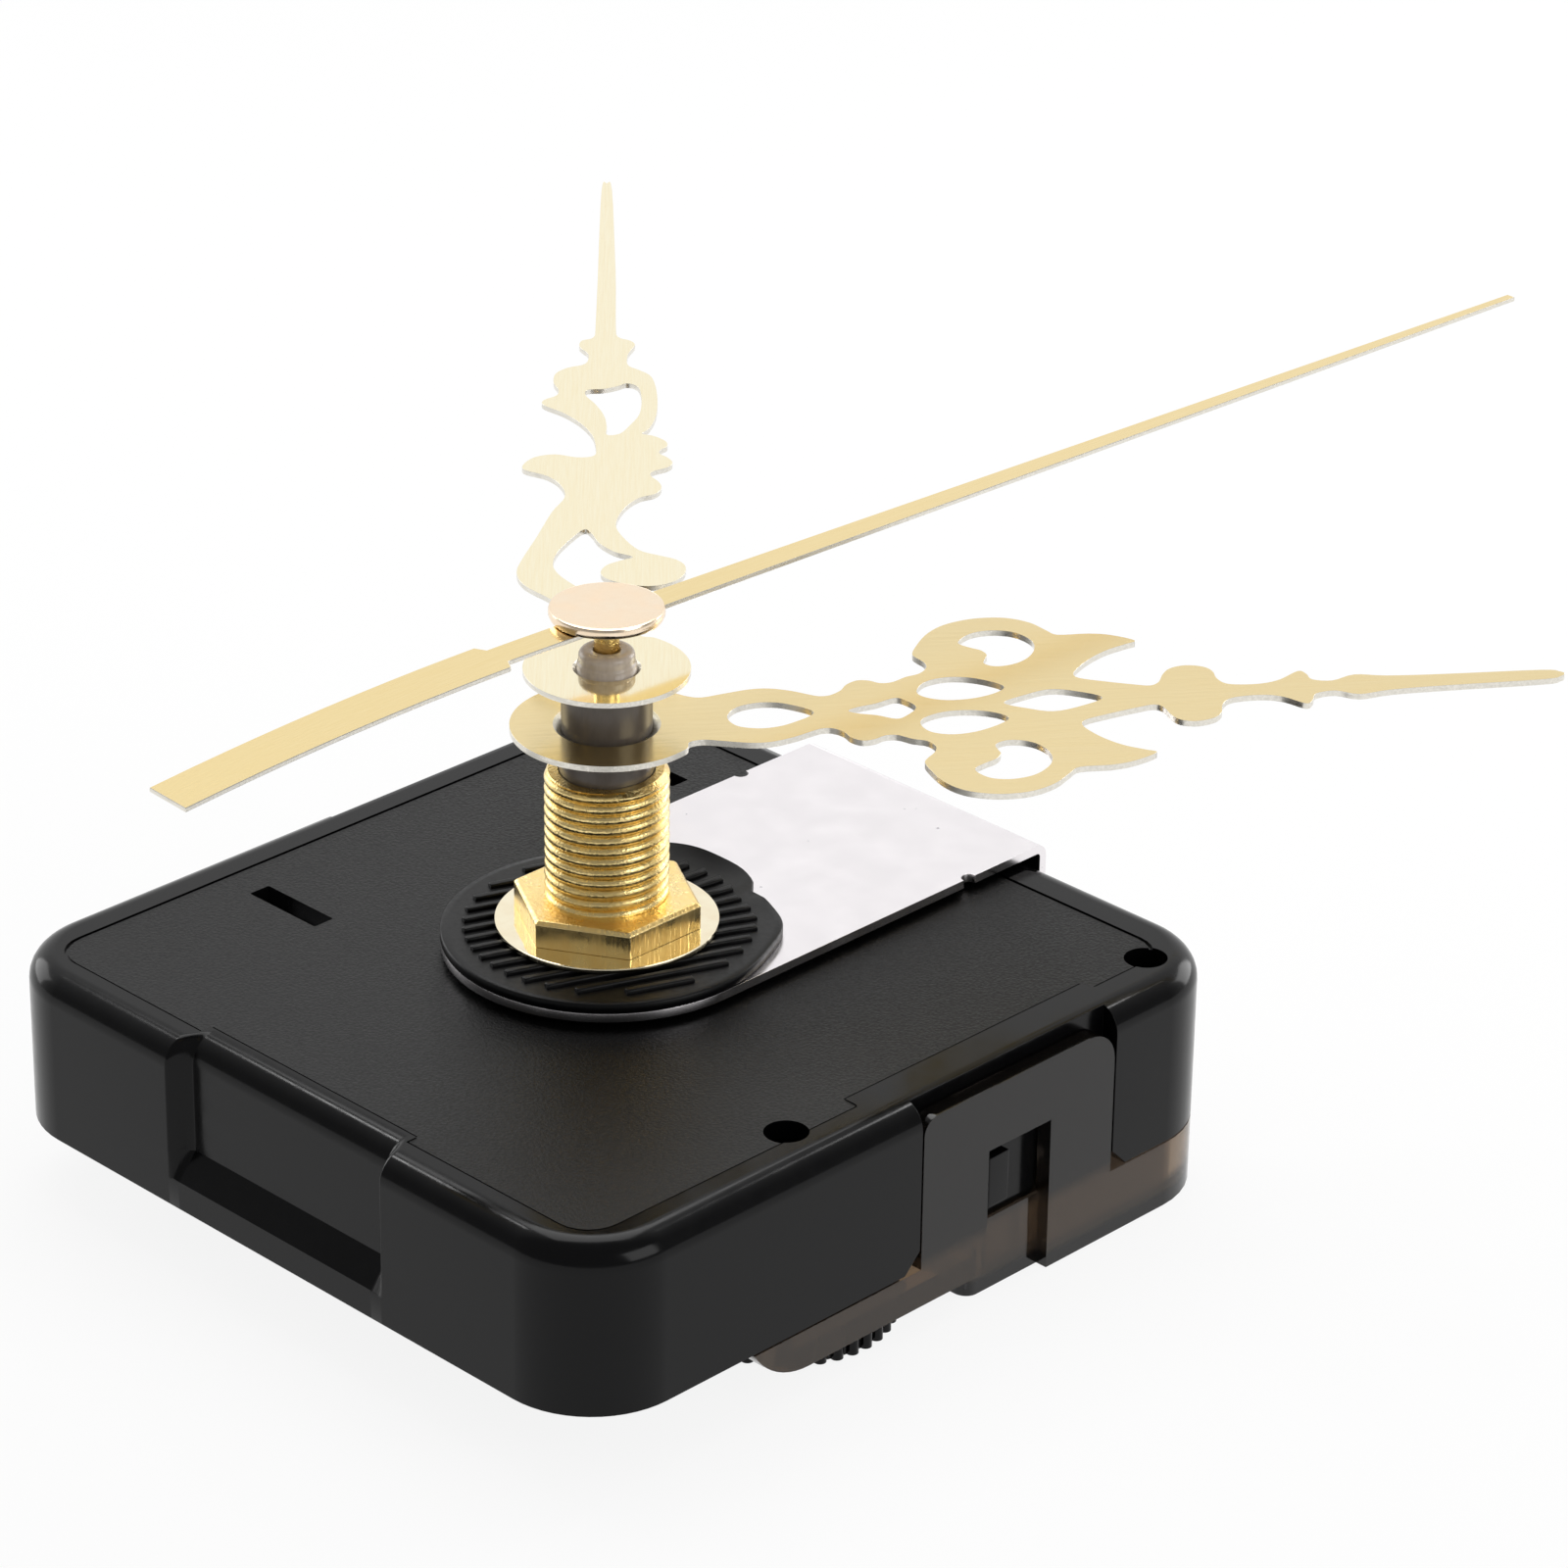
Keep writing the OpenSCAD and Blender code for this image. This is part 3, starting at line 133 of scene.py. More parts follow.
def arc(centre, radius, first, last, steps):
    """Points on an arc, from one angle to the other, in degrees."""
    turns = [math.radians(first + (last - first) * k / steps) for k in range(steps + 1)]
    return [(centre[0] + radius * math.cos(t), centre[1] + radius * math.sin(t)) for t in turns]


# %% [markdown]
# Holes, pockets and notches are cut with the Boolean modifier, and the small round that moulding or
# tumbling leaves on an edge comes from the Bevel modifier. Both are applied, so that the mesh itself
# holds them.

# %% Cutting, joining and rounding
def change(piece, tool, operation):
    step = piece.modifiers.new("step", "BOOLEAN")
    step.operation = operation
    step.solver = "EXACT"
    step.object = tool
    only(piece)
    bpy.ops.object.modifier_apply(modifier=step.name)
    bpy.data.objects.remove(tool)


def cut(piece, *tools):
    for tool in tools:
        change(piece, tool, "DIFFERENCE")


def add(piece, *tools):
    for tool in tools:
        change(piece, tool, "UNION")


def keep_inside(piece, tool):
    change(piece, tool, "INTERSECT")


def round_edges(piece, radius, steps=2, angle=40):
    step = piece.modifiers.new("round", "BEVEL")
    step.width = radius * MM
    step.segments = steps
    step.limit_method = "ANGLE"
    step.angle_limit = math.radians(angle)
    only(piece)
    bpy.ops.object.modifier_apply(modifier=step.name)


def bevel_where(piece, test, radius, steps):
    """Bevels only the edges for which the test is true."""
    pick(piece, test)
    bpy.ops.mesh.bevel(offset=radius * MM, segments=steps, affect="EDGES")
    leave_edit()


def slice_at(piece, at, normal=(0, 0, 1), **clear):
    """Divides a whole mesh by a plane, and clears one side of it if told so."""
    pick(piece, lambda face: True, "FACE")
    bpy.ops.mesh.bisect(plane_co=Vector(at) * MM, plane_no=normal, **clear)
    leave_edit()


def smooth(piece, angle=35):
    """Smooth shading over the rounds, with the flat faces kept flat."""
    only(piece)
    bpy.ops.object.shade_smooth_by_angle(angle=math.radians(angle))
    step = piece.modifiers.new("flats", "WEIGHTED_NORMAL")
    step.keep_sharp = True
    bpy.ops.object.modifier_apply(modifier=step.name)


def tidy_mesh(piece, gap=0.002):
    only(piece)
    bpy.ops.object.mode_set(mode="EDIT")
    bpy.ops.mesh.select_all(action="SELECT")
    bpy.ops.mesh.remove_doubles(threshold=gap * MM)
    bpy.ops.mesh.normals_make_consistent(inside=False)
    leave_edit()


def copy_of(node, name):
    """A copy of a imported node, with its loose triangles merged."""
    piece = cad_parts[node].copy()
    piece.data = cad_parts[node].data.copy()
    piece.parent = None
    for key in list(piece.keys()):
        del piece[key]
    bpy.context.scene.collection.objects.link(piece)
    piece.name = name
    tidy_mesh(piece)
    return piece


# %% [markdown]
# Every finish is a node material that reads Object coordinates, so a pattern stays on the piece in any
# view. Colours are written as sRGB hex values, as a paint chart gives them, and turned to linear light
# once, here.

# %% Colour and node helpers
def colour(code):
    parts = [int(code[k:k + 2], 16) / 255 for k in (1, 3, 5)]
    linear = [p / 12.92 if p <= 0.04045 else ((p + 0.055) / 1.055) ** 2.4 for p in parts]
    return (*linear, 1.0)


def node(owner, kind, settings=None, inputs=None, links=None):
    """Adds one node to a material or the world. Settings are its own fields, inputs its socket values,
    links the sources of its sockets."""
    made = owner.node_tree.nodes.new(kind)
    for key, value in (settings or {}).items():
        setattr(made, key, value)
    for key, value in (inputs or {}).items():
        made.inputs[key].default_value = value
    for key, source in (links or {}).items():
        owner.node_tree.links.new(source, made.inputs[key])
    return made


def surface(name, code, roughness, metallic=0.0, **more):
    """A new material with its Principled shader set."""
    material = bpy.data.materials.new(name)
    material.use_nodes = True
    shader = material.node_tree.nodes["Principled BSDF"]
    shader.inputs["Base Color"].default_value = colour(code)
    shader.inputs["Roughness"].default_value = roughness
    shader.inputs["Metallic"].default_value = metallic
    for key, value in more.items():
        shader.inputs[key.replace("_", " ")].default_value = value
    return material, shader


def join(material, source, shader, socket):
    material.node_tree.links.new(source, shader.inputs[socket])


def grain(material, shader, size, strength, height, stretch=(1, 1, 1)):
    """Fine relief of a given grain size in millimetres."""
    place = node(material, "ShaderNodeTexCoord")
    scaled = node(material, "ShaderNodeMapping", inputs={"Scale": [s / (size * MM) for s in stretch]},
                  links={"Vector": place.outputs["Object"]})
    noise = node(material, "ShaderNodeTexNoise", inputs={"Scale": 1.0, "Detail": 3.0, "Roughness": 0.55},
                 links={"Vector": scaled.outputs["Vector"]})
    bump = node(material, "ShaderNodeBump", inputs={"Strength": strength, "Distance": height * MM},
                links={"Height": noise.outputs["Fac"]})
    join(material, bump.outputs["Normal"], shader, "Normal")
    return noise


def blend_colour(material, shader, source, low, high, code_low, code_high):
    """The colour goes from one to the other as the source goes from low to high."""
    ramp = node(material, "ShaderNodeValToRGB", links={"Fac": source})
    ramp.color_ramp.elements[0].position = low
    ramp.color_ramp.elements[0].color = colour(code_low)
    ramp.color_ramp.elements[1].position = high
    ramp.color_ramp.elements[1].color = colour(code_high)
    join(material, ramp.outputs["Color"], shader, "Base Color")
    return ramp


def vary(material, shader, source, low, high):
    """The roughness goes from low to high with the source."""
    span = {"From Min": 0.3, "From Max": 0.7, "To Min": low, "To Max": high}
    ramp = node(material, "ShaderNodeMapRange", inputs=span, links={"Value": source})
    join(material, ramp.outputs["Result"], shader, "Roughness")


def finish_with(piece, *materials):
    piece.data.materials.clear()
    for material in materials:
        piece.data.materials.append(material)


# %% [markdown]
# The case is moulded in black ABS. The mould is polished on the sides and spark-eroded on the face:
# the sides show soft long reflections, and the face scatters light over a grain of about 0.2 mm.

# %% Black plastics
case_satin, shader = surface("black_abs_polished", "#050506", 0.16, Specular_IOR_Level=0.18)
noise = grain(case_satin, shader, 1.2, 0.06, 0.02)
vary(case_satin, shader, noise.outputs["Fac"], 0.12, 0.2)

case_matt, shader = surface("black_abs_spark_eroded", "#040404", 0.38, Specular_IOR_Level=0.18)
noise = grain(case_matt, shader, 0.22, 0.9, 0.04)
vary(case_matt, shader, noise.outputs["Fac"], 0.3, 0.5)

rubber, shader = surface("nitrile_rubber_moulded", "#040405", 0.34, Specular_IOR_Level=0.2)
noise = grain(rubber, shader, 0.4, 0.2, 0.03)
vary(rubber, shader, noise.outputs["Fac"], 0.32, 0.45)
print("black plastics ready")

# %% [markdown]
# The back cover is smoky polystyrene: light passes through it and comes out brown.
# The tint is in the shader's colour. It looks black where the case stands behind it or where the eye
# looks along the skin of its back, and brown in the band between them, so a ramp over the height paints
# these as light and shade: painted shade near black at the back's skin and above the parting, lit brown
# between.

# %% Smoky cover and pale mouldings
SKIN, PARTING = 1.2, 4.8
RAMP_HIGH = 10
smoky, shader = surface("polystyrene_smoky_clear", "#4b4037", 0.08,
                        Transmission_Weight=0.9, IOR=1.45, Specular_IOR_Level=0.14)
noise = grain(smoky, shader, 1.4, 0.06, 0.02)
vary(smoky, shader, noise.outputs["Fac"], 0.06, 0.13)
place = node(smoky, "ShaderNodeTexCoord")
axes = node(smoky, "ShaderNodeSeparateXYZ", links={"Vector": place.outputs["Object"]})
share = node(smoky, "ShaderNodeMapRange", inputs={"From Min": 0, "From Max": RAMP_HIGH * MM},
             links={"Value": axes.outputs["Z"]})
# Painted shade and light: near black below the back's skin and above the parting, lit brown in the band
# between.
painted_light_and_shade_ramp = blend_colour(smoky, shader, share.outputs["Result"],
                     0.7 * SKIN / RAMP_HIGH, (SKIN + 0.1) / RAMP_HIGH, "#25201d", "#8b7660")
for height, code in ((PARTING - 0.3, "#846f59"), (PARTING + 0.7, "#2a2521")):
    stop = painted_light_and_shade_ramp.color_ramp.elements.new(height / RAMP_HIGH)
    stop.color = colour(code)

acetal, shader = surface("acetal_moulded_white", "#e4e1d6", 0.42,
                         Subsurface_Weight=0.08, Subsurface_Scale=0.001)
noise = grain(acetal, shader, 0.6, 0.08, 0.02)
blend_colour(acetal, shader, noise.outputs["Fac"], 0.3, 0.7, "#dedacd", "#e9e6dc")

tube_grey, shader = surface("acetal_moulded_warm_grey", "#b6aa9c", 0.22)
noise = grain(tube_grey, shader, 0.5, 0.12, 0.02, stretch=(1, 1, 0.3))
blend_colour(tube_grey, shader, noise.outputs["Fac"], 0.3, 0.7, "#ada091", "#bfb3a6")

tube_dark, shader = surface("acetal_moulded_dark_grey", "#544d47", 0.28)
noise = grain(tube_dark, shader, 0.5, 0.1, 0.02, stretch=(1, 1, 0.3))
blend_colour(tube_dark, shader, noise.outputs["Fac"], 0.3, 0.7, "#4f4842", "#59524c")
print("clear and pale plastics ready")

# %% [markdown]
# Turned brass shows fine rings from the lathe. They are drawn by a wave texture in rings about Z,
# one ring every 0.12 mm, shallow enough to streak the reflections and not to show as grooves.

# %% Brass, steel and gold-coloured aluminium
SPECKS, CLOUDS = 5500.0, 700.0


def bands(pitch):
    """The wave texture's scale that gives one ring or band in each pitch."""
    return 1 / (pitch * MM) / 20 * math.pi


def turned(name, code, code_worn, roughness, ring, speckle):
    """Lathe rings about Z, given in millimetres, and a fine speckle from the plating bath."""
    material, shader = surface(name, code, roughness, 1.0)
    place = node(material, "ShaderNodeTexCoord")
    wave = node(material, "ShaderNodeTexWave", settings={"wave_type": "RINGS", "rings_direction": "Z"},
                inputs={"Scale": bands(ring), "Distortion": 0.6, "Detail": 2.0},
                links={"Vector": place.outputs["Object"]})
    bump = node(material, "ShaderNodeBump", inputs={"Strength": 0.12, "Distance": 0.01 * MM},
                links={"Height": wave.outputs["Fac"]})
    noise = node(material, "ShaderNodeTexNoise", inputs={"Scale": SPECKS, "Detail": 2.0},
                 links={"Vector": place.outputs["Object"]})
    grit = node(material, "ShaderNodeBump", inputs={"Strength": speckle, "Distance": 0.04 * MM},
                links={"Height": noise.outputs["Fac"], "Normal": bump.outputs["Normal"]})
    join(material, grit.outputs["Normal"], shader, "Normal")
    cloud = node(material, "ShaderNodeTexNoise", inputs={"Scale": CLOUDS, "Detail": 2.0},
                 links={"Vector": place.outputs["Object"]})
    vary(material, shader, cloud.outputs["Fac"], roughness * 0.8, roughness * 1.3)
    blend_colour(material, shader, cloud.outputs["Fac"], 0.3, 0.75, code, code_worn)
    return material


brass = turned("brass_turned_bright", "#f8df9e", "#f0d28a", 0.24, 0.12, 0.9)
washer_brass = turned("brass_rolled_polished", "#fdf4d8", "#f8eaca", 0.06, 0.3, 0.03)
cap_brass = turned("brass_cap_lacquered", "#fce9cf", "#f8e0c2", 0.18, 0.3, 0.04)

# The nut's sides keep the upright marks of the tool that cut them, which take the place of the rings.
nut_brass = turned("brass_nut_sawn", "#f8dfa0", "#f0d08a", 0.28, 0.12, 0.3)
MARK_WIDE, MARK_LONG = 0.24, 2.2
place = node(nut_brass, "ShaderNodeTexCoord")
mark_scale = (1 / (MARK_WIDE * MM), 1 / (MARK_WIDE * MM), 1 / (MARK_LONG * MM))
scaled = node(nut_brass, "ShaderNodeMapping", inputs={"Scale": mark_scale},
              links={"Vector": place.outputs["Object"]})
marks = node(nut_brass, "ShaderNodeTexNoise", inputs={"Scale": 1.0, "Detail": 2.0},
             links={"Vector": scaled.outputs["Vector"]})
shader = nut_brass.node_tree.nodes["Principled BSDF"]
relief = node(nut_brass, "ShaderNodeBump", inputs={"Strength": 1.0, "Distance": 0.06 * MM},
              links={"Height": marks.outputs["Fac"]})
join(nut_brass, relief.outputs["Normal"], shader, "Normal")


def rolled(name, code, code_worn, roughness, along, width, relief):
    """Rolled sheet: fine streaks along one direction, width given in millimetres."""
    material, shader = surface(name, code, roughness, 1.0)
    place = node(material, "ShaderNodeTexCoord")
    turned_place = node(material, "ShaderNodeMapping", inputs={"Rotation": (0, 0, -math.radians(along))},
                        links={"Vector": place.outputs["Object"]})
    streak = (1 / (width * 30 * MM), 1 / (width * MM), 1 / (width * MM))
    scaled = node(material, "ShaderNodeMapping", inputs={"Scale": streak},
                  links={"Vector": turned_place.outputs["Vector"]})
    noise = node(material, "ShaderNodeTexNoise", inputs={"Scale": 1.0, "Detail": 4.0, "Roughness": 0.6},
                 links={"Vector": scaled.outputs["Vector"]})
    bump = node(material, "ShaderNodeBump", inputs={"Strength": relief, "Distance": 0.01 * MM},
                links={"Height": noise.outputs["Fac"]})
    join(material, bump.outputs["Normal"], shader, "Normal")
    vary(material, shader, noise.outputs["Fac"], roughness * 0.8, roughness * 1.25)
    blend_colour(material, shader, noise.outputs["Fac"], 0.3, 0.75, code, code_worn)
    return material


hour_gold = rolled("aluminium_gold_hour_hand", "#ecd8a6", "#e6d09a", 0.2, 53, 0.12, 0.03)
minute_gold = rolled("aluminium_gold_minute_hand", "#fff6d8", "#fbeec8", 0.1, 136, 0.12, 0.02)
second_gold = rolled("aluminium_gold_second_hand", "#f6e0a8", "#f0d89c", 0.13, 87, 0.1, 0.03)
bare_edge = rolled("aluminium_bare_cut_edge", "#f0ece2", "#d8d4ca", 0.3, 0, 0.15, 0.1)

# Zinc from a plating bath is nearly white and a little cloudy. It has no rolling lines, only tiny pits.
zinc, shader = surface("steel_zinc_plated", "#f1edef", 0.22, 1.0)
noise = grain(zinc, shader, 2.5, 0.04, 0.02)
vary(zinc, shader, noise.outputs["Fac"], 0.16, 0.26)
place = node(zinc, "ShaderNodeTexCoord")
pits = node(zinc, "ShaderNodeTexNoise", inputs={"Scale": 1 / (0.5 * MM), "Detail": 1.0},
            links={"Vector": place.outputs["Object"]})
blend_colour(zinc, shader, pits.outputs["Fac"], 0.17, 0.21, "#bebbc0", "#f1edef")
arbor_steel = rolled("steel_arbor_polished", "#b7b9bd", "#a3a5aa", 0.2, 0, 0.1, 0.15)
print("metals ready")

# %% [markdown]
# The camera stands where the photograph was taken: 44.5 degrees round to the three o'clock side and
# 26.4 degrees up, about 380 mm away, with a long lens and a roll of under one degree.

# %% Camera
AZIMUTH, ELEVATION, ROLL = math.radians(44.501), math.radians(26.445), math.radians(0.812)
LENS = 135.73
PLACE = Vector((242.852, -231.123, 195.018)) * MM

level = math.cos(ELEVATION)
back = Vector((math.sin(AZIMUTH) * level, -math.cos(AZIMUTH) * level, math.sin(ELEVATION)))
right = Vector((math.cos(AZIMUTH), math.sin(AZIMUTH), 0))
up = back.cross(right)
level_right = math.cos(ROLL) * right + math.sin(ROLL) * up
level_up = math.cos(ROLL) * up - math.sin(ROLL) * right

bpy.ops.object.camera_add(location=PLACE)
camera = bpy.context.object
camera.name = "photo_camera"
turn = Matrix((level_right, level_up, back)).transposed().to_4x4()
camera.matrix_world = Matrix.Translation(PLACE) @ turn
camera.data.lens = LENS
camera.data.sensor_width = 36
camera.data.clip_start = 0.01
bpy.context.scene.camera = camera
print("camera at", [round(x, 4) for x in PLACE])

# %% [markdown]
# The photograph is a studio shot on pure white. The world is white only where the camera, a mirror-like
# surface or clear plastic looks at it, and lights the object itself at a plain level.
# A mirror-like surface sees the lit backdrop behind the object, and a dimmer studio in front of it.

# %% World and floor
PLAIN, DIM, LIT = 0.55, 0.36, 1.2
SECTOR = 0.55
FLOOR_GLOW = 0.88


def rays(owner, *kinds):
    """A socket that is 1 where the ray is of one of these kinds."""
    path = node(owner, "ShaderNodeLightPath")
    found = path.outputs[kinds[0]]
    for kind in kinds[1:]:
        either = node(owner, "ShaderNodeMath", settings={"operation": "MAXIMUM"},
                      links={0: found, 1: path.outputs[kind]})
        found = either.outputs[0]
    return found


scene = bpy.context.scene
scene.view_settings.view_transform = "Standard"
world = bpy.data.worlds.new("studio")
scene.world = world
world.use_nodes = True
world.node_tree.nodes.clear()

ray = node(world, "ShaderNodeTexCoord")
behind = node(world, "ShaderNodeVectorMath", settings={"operation": "DOT_PRODUCT"},
              inputs={1: (-math.sin(AZIMUTH), math.cos(AZIMUTH), 0)}, links={0: ray.outputs["Generated"]})
sector = node(world, "ShaderNodeMapRange", links={"Value": behind.outputs["Value"]},
              inputs={"From Min": 0.0, "From Max": SECTOR, "To Min": DIM, "To Max": LIT})
mirrored = node(world, "ShaderNodeMath", settings={"operation": "MULTIPLY"},
                links={0: rays(world, "Is Glossy Ray"), 1: sector.outputs["Result"]})
strength = node(world, "ShaderNodeMath", settings={"operation": "MAXIMUM"},
                links={0: rays(world, "Is Camera Ray", "Is Transmission Ray"), 1: mirrored.outputs[0]})
plain = node(world, "ShaderNodeBackground", inputs={"Strength": PLAIN})
white = node(world, "ShaderNodeBackground", links={"Strength": strength.outputs[0]})
mixed = node(world, "ShaderNodeMixShader", links={
    "Fac": rays(world, "Is Camera Ray", "Is Transmission Ray", "Is Glossy Ray"),
    1: plain.outputs[0], 2: white.outputs[0]})
node(world, "ShaderNodeOutputWorld", links={"Surface": mixed.outputs[0]})

bpy.ops.mesh.primitive_plane_add(size=3, location=(0, 0, -0.1 * MM))
floor = bpy.context.object
floor.name = "floor"
paper = bpy.data.materials.new("paper_white")
paper.use_nodes = True
shader = paper.node_tree.nodes["Principled BSDF"]
shader.inputs["Base Color"].default_value = (0.9, 0.9, 0.9, 1)
shader.inputs["Roughness"].default_value = 0.9
glow = node(paper, "ShaderNodeEmission", inputs={"Strength": 1.0})
share = node(paper, "ShaderNodeMath", settings={"operation": "MULTIPLY"}, inputs={1: FLOOR_GLOW},
             links={0: rays(paper, "Is Camera Ray", "Is Transmission Ray", "Is Glossy Ray")})
mixed = node(paper, "ShaderNodeMixShader",
             links={"Fac": share.outputs[0], 1: shader.outputs[0], 2: glow.outputs[0]})
paper.node_tree.links.new(mixed.outputs[0], paper.node_tree.nodes["Material Output"].inputs["Surface"])
floor.data.materials.append(paper)
print("world and floor ready")

# %% [markdown]
# Two soft boxes light the object. Strips and cards give the edges and the brass their highlights.

# %% Lamps
def lamp(name, place, aim, size, power):
    bpy.ops.object.light_add(type="AREA", location=[p * MM for p in place])
    made = bpy.context.object
    made.name = name
    made.data.size = size * MM
    made.data.energy = power
    made.rotation_euler = (Vector(aim) * MM - made.location).to_track_quat("-Z", "Y").to_euler()


lamp("soft_box_above", (-150, 120, 420), (0, 0, 20), 300, 0.8)
lamp("soft_box_right", (420, 60, 200), (10, 0, 10), 260, 0.55)
lamp("strip_left", (-260, -20, 330), (0, -20, 14), 40, 0.08)
lamp("strip_behind", (30, 270, 320), (20, 0, 14), 40, 0.08)
lamp("card_left", (-380, -60, 110), (0, 0, 30), 200, 0.3)
lamp("card_behind", (60, 380, 110), (0, 0, 30), 200, 0.45)
lamp("soft_box_behind", (-480, 490, 80), (-10, 10, 16), 150, 0.07)
print("studio ready")

# %% [markdown]
# The case shell is one moulding: a square box with well-rounded corners, a battery room and a train room,
# latch notches in both sides, a finger recess by the battery and holes in its face.
# It is a block whose edges are bevelled first, because the cuts then keep the true round above them.

# %% Case sizes
CASE_X, CASE_Y = 0.3, 0.4
LEFT, RIGHT = CASE_X - 28, CASE_X + 28
NEAR, FAR = CASE_Y - 28.9, CASE_Y + 28.9
FACE = 16.4
WALL = 1.3
CEILING = FACE - WALL
CORNER, TOP_ROUND = 6.5, 1.8
BAY_NEAR = NEAR + 2.4
DIVIDER = BAY_NEAR + 14.7
DIVIDER_FAR = DIVIDER + 1.2
LATCH_LOW, LATCH_HIGH = -0.2, 17.6
WINDOW_LOW, WINDOW_HIGH, WINDOW_FOOT = 5.9, 11.6, 5.2
THIRD, WORK, KNOB = (-5.1, 8.83), (10.495, -0.33), (20.34, -3.98)


# %% Case shell
def upright(edge):
    a, b = edge.verts
    return abs(a.co.z - b.co.z) > 1 * MM


def at_height(edge, z):
    return all(abs(v.co.z - z * MM) < 1e-6 for v in edge.verts)


def rounded_box(x0, x1, y0, y1, z0, z1, corner, name="tool", steps=10):
    piece = block((x0, y0, z0), (x1, y1, z1), name)
    bevel_where(piece, upright, corner, steps)
    return piece


case = rounded_box(LEFT, RIGHT, NEAR, FAR, PARTING, FACE, CORNER, "case_shell", 14)
bevel_where(case, lambda edge: at_height(edge, FACE), TOP_ROUND, 7)

train_room = rounded_box(LEFT + WALL, RIGHT - WALL, NEAR + WALL, FAR - WALL, PARTING - 1, CEILING,
                         CORNER - WALL)
cut(train_room, block((LEFT - 1, NEAR - 1, PARTING - 2), (RIGHT + 1, DIVIDER_FAR, FACE)))
bay_room = rounded_box(LEFT + WALL, RIGHT - WALL, BAY_NEAR, DIVIDER, PARTING - 1, CEILING, 1.2, steps=4)
cut(case, train_room, bay_room)
print("shell faces:", len(case.data.polygons))

# %% [markdown]
# The finger recess lets a fingertip lift the cell. The round edge of the case follows it, so it isn't
# cut out: the near side is divided by bisect planes, and the points between them are pushed in.
# A soft step at both ends gives the rounded corners, and a slope at its foot gives the drafted floor.

# %% Finger recess and latch notches
RECESS_HALF, RECESS_SOFT, RECESS_DEEP = 9.0, 1.1, 1.45
RECESS_LOW, RECESS_RISE = 6.8, 1.7
RECESS_STEPS = 8
planes = [((side * (RECESS_HALF + RECESS_SOFT * k / RECESS_STEPS), 0, 0), (1, 0, 0))
          for side in (1, -1) for k in range(RECESS_STEPS + 1)]
planes += [((0, 0, RECESS_LOW + lift), (0, 0, 1)) for lift in (-0.15, 0, RECESS_RISE, RECESS_RISE + 0.15)]
for at, normal in planes:
    pick(case, lambda face: face.calc_center_median().y < (NEAR + TOP_ROUND + 0.1) * MM, "FACE")
    bpy.ops.mesh.bisect(plane_co=Vector(at) * MM, plane_no=normal)
    leave_edit()
moved = 0
for point in case.data.vertices:
    x, y, z = point.co / MM
    if y < NEAR + TOP_ROUND + 0.05 and abs(x) < RECESS_HALF + RECESS_SOFT and z > RECESS_LOW:
        end = min(1, (RECESS_HALF + RECESS_SOFT - abs(x)) / RECESS_SOFT)
        rise = min(1, max(0, (z - RECESS_LOW) / RECESS_RISE))
        point.co.y += RECESS_DEEP * MM * end * end * (3 - 2 * end) * rise
        moved += 1
print("recess points moved:", moved)

SLANT, NOTCH_DEEP = 1.3, 1.25
SIDES = ((1, RIGHT), (-1, LEFT))
notch = [(LATCH_LOW - SLANT - 0.5, PARTING - 0.5), (LATCH_LOW - SLANT, PARTING),
         (LATCH_LOW, PARTING + SLANT), (LATCH_LOW, FACE + 1),
         (LATCH_HIGH, FACE + 1), (LATCH_HIGH, PARTING + SLANT),
         (LATCH_HIGH + SLANT, PARTING), (LATCH_HIGH + SLANT + 0.5, PARTING - 0.5)]
for side, edge in SIDES:
    add(case, side_block(edge - side * 2.7, edge - side * 1.2, LATCH_LOW - SLANT, LATCH_HIGH + SLANT,
                         PARTING, CEILING + 0.2))
for low, high in ((RIGHT - NOTCH_DEEP, RIGHT + 1), (LEFT - 1, LEFT + NOTCH_DEEP)):
    cut(case, plate(notch, low, high, side_on))

# %% [markdown]
# The face has a spark-eroded field inside a polished border. The insert that moulds it leaves a hairline
# groove all round, which is what shows as a fine dark line, with a jog beside the latch and at the recess.
# The outline is made twice, once a little smaller, and the ring between them is cut.
# Two round holes, two slots and the bush's hole go through the face.

# %% Face field, holes and bush seat
FIELD = FACE - 0.06
FIELD_Y, FIELD_ROUND = 25.9, 2.4
GROOVE_DEEP, GROOVE_SHRINK = 0.16, 0.9935
SEAT_R, BUSH_HOLE_R, ROUND_HOLE_R = 9, 5.05, 1.42


def field_tool(low, high, shrink=1.0):
    tool = rounded_box(-24.6, 24.3, -FIELD_Y, FIELD_Y, low, high, FIELD_ROUND, steps=6)
    near_part = [(10, -FIELD_Y)] + arc((23.1, -23.5), FIELD_ROUND, 270, 360, 6)
    near_part += arc((25.2, -3.3), 0.3, 0, 90, 3) + [(10, -3)]
    far_part = [(10, 18.6)] + arc((24.9, 18.9), 0.3, 270, 360, 3)
    far_part += arc((22.8, 23.5), FIELD_ROUND, 0, 90, 6) + [(10, FIELD_Y)]
    add(tool, plate(near_part, low, high), plate(far_part, low, high))
    cut(tool, block((-9.6, -26.5, low - 1), (9.6, -25.05, high + 1)))
    for corner in tool.data.vertices:
        corner.co.x *= shrink
        corner.co.y *= shrink
    return tool


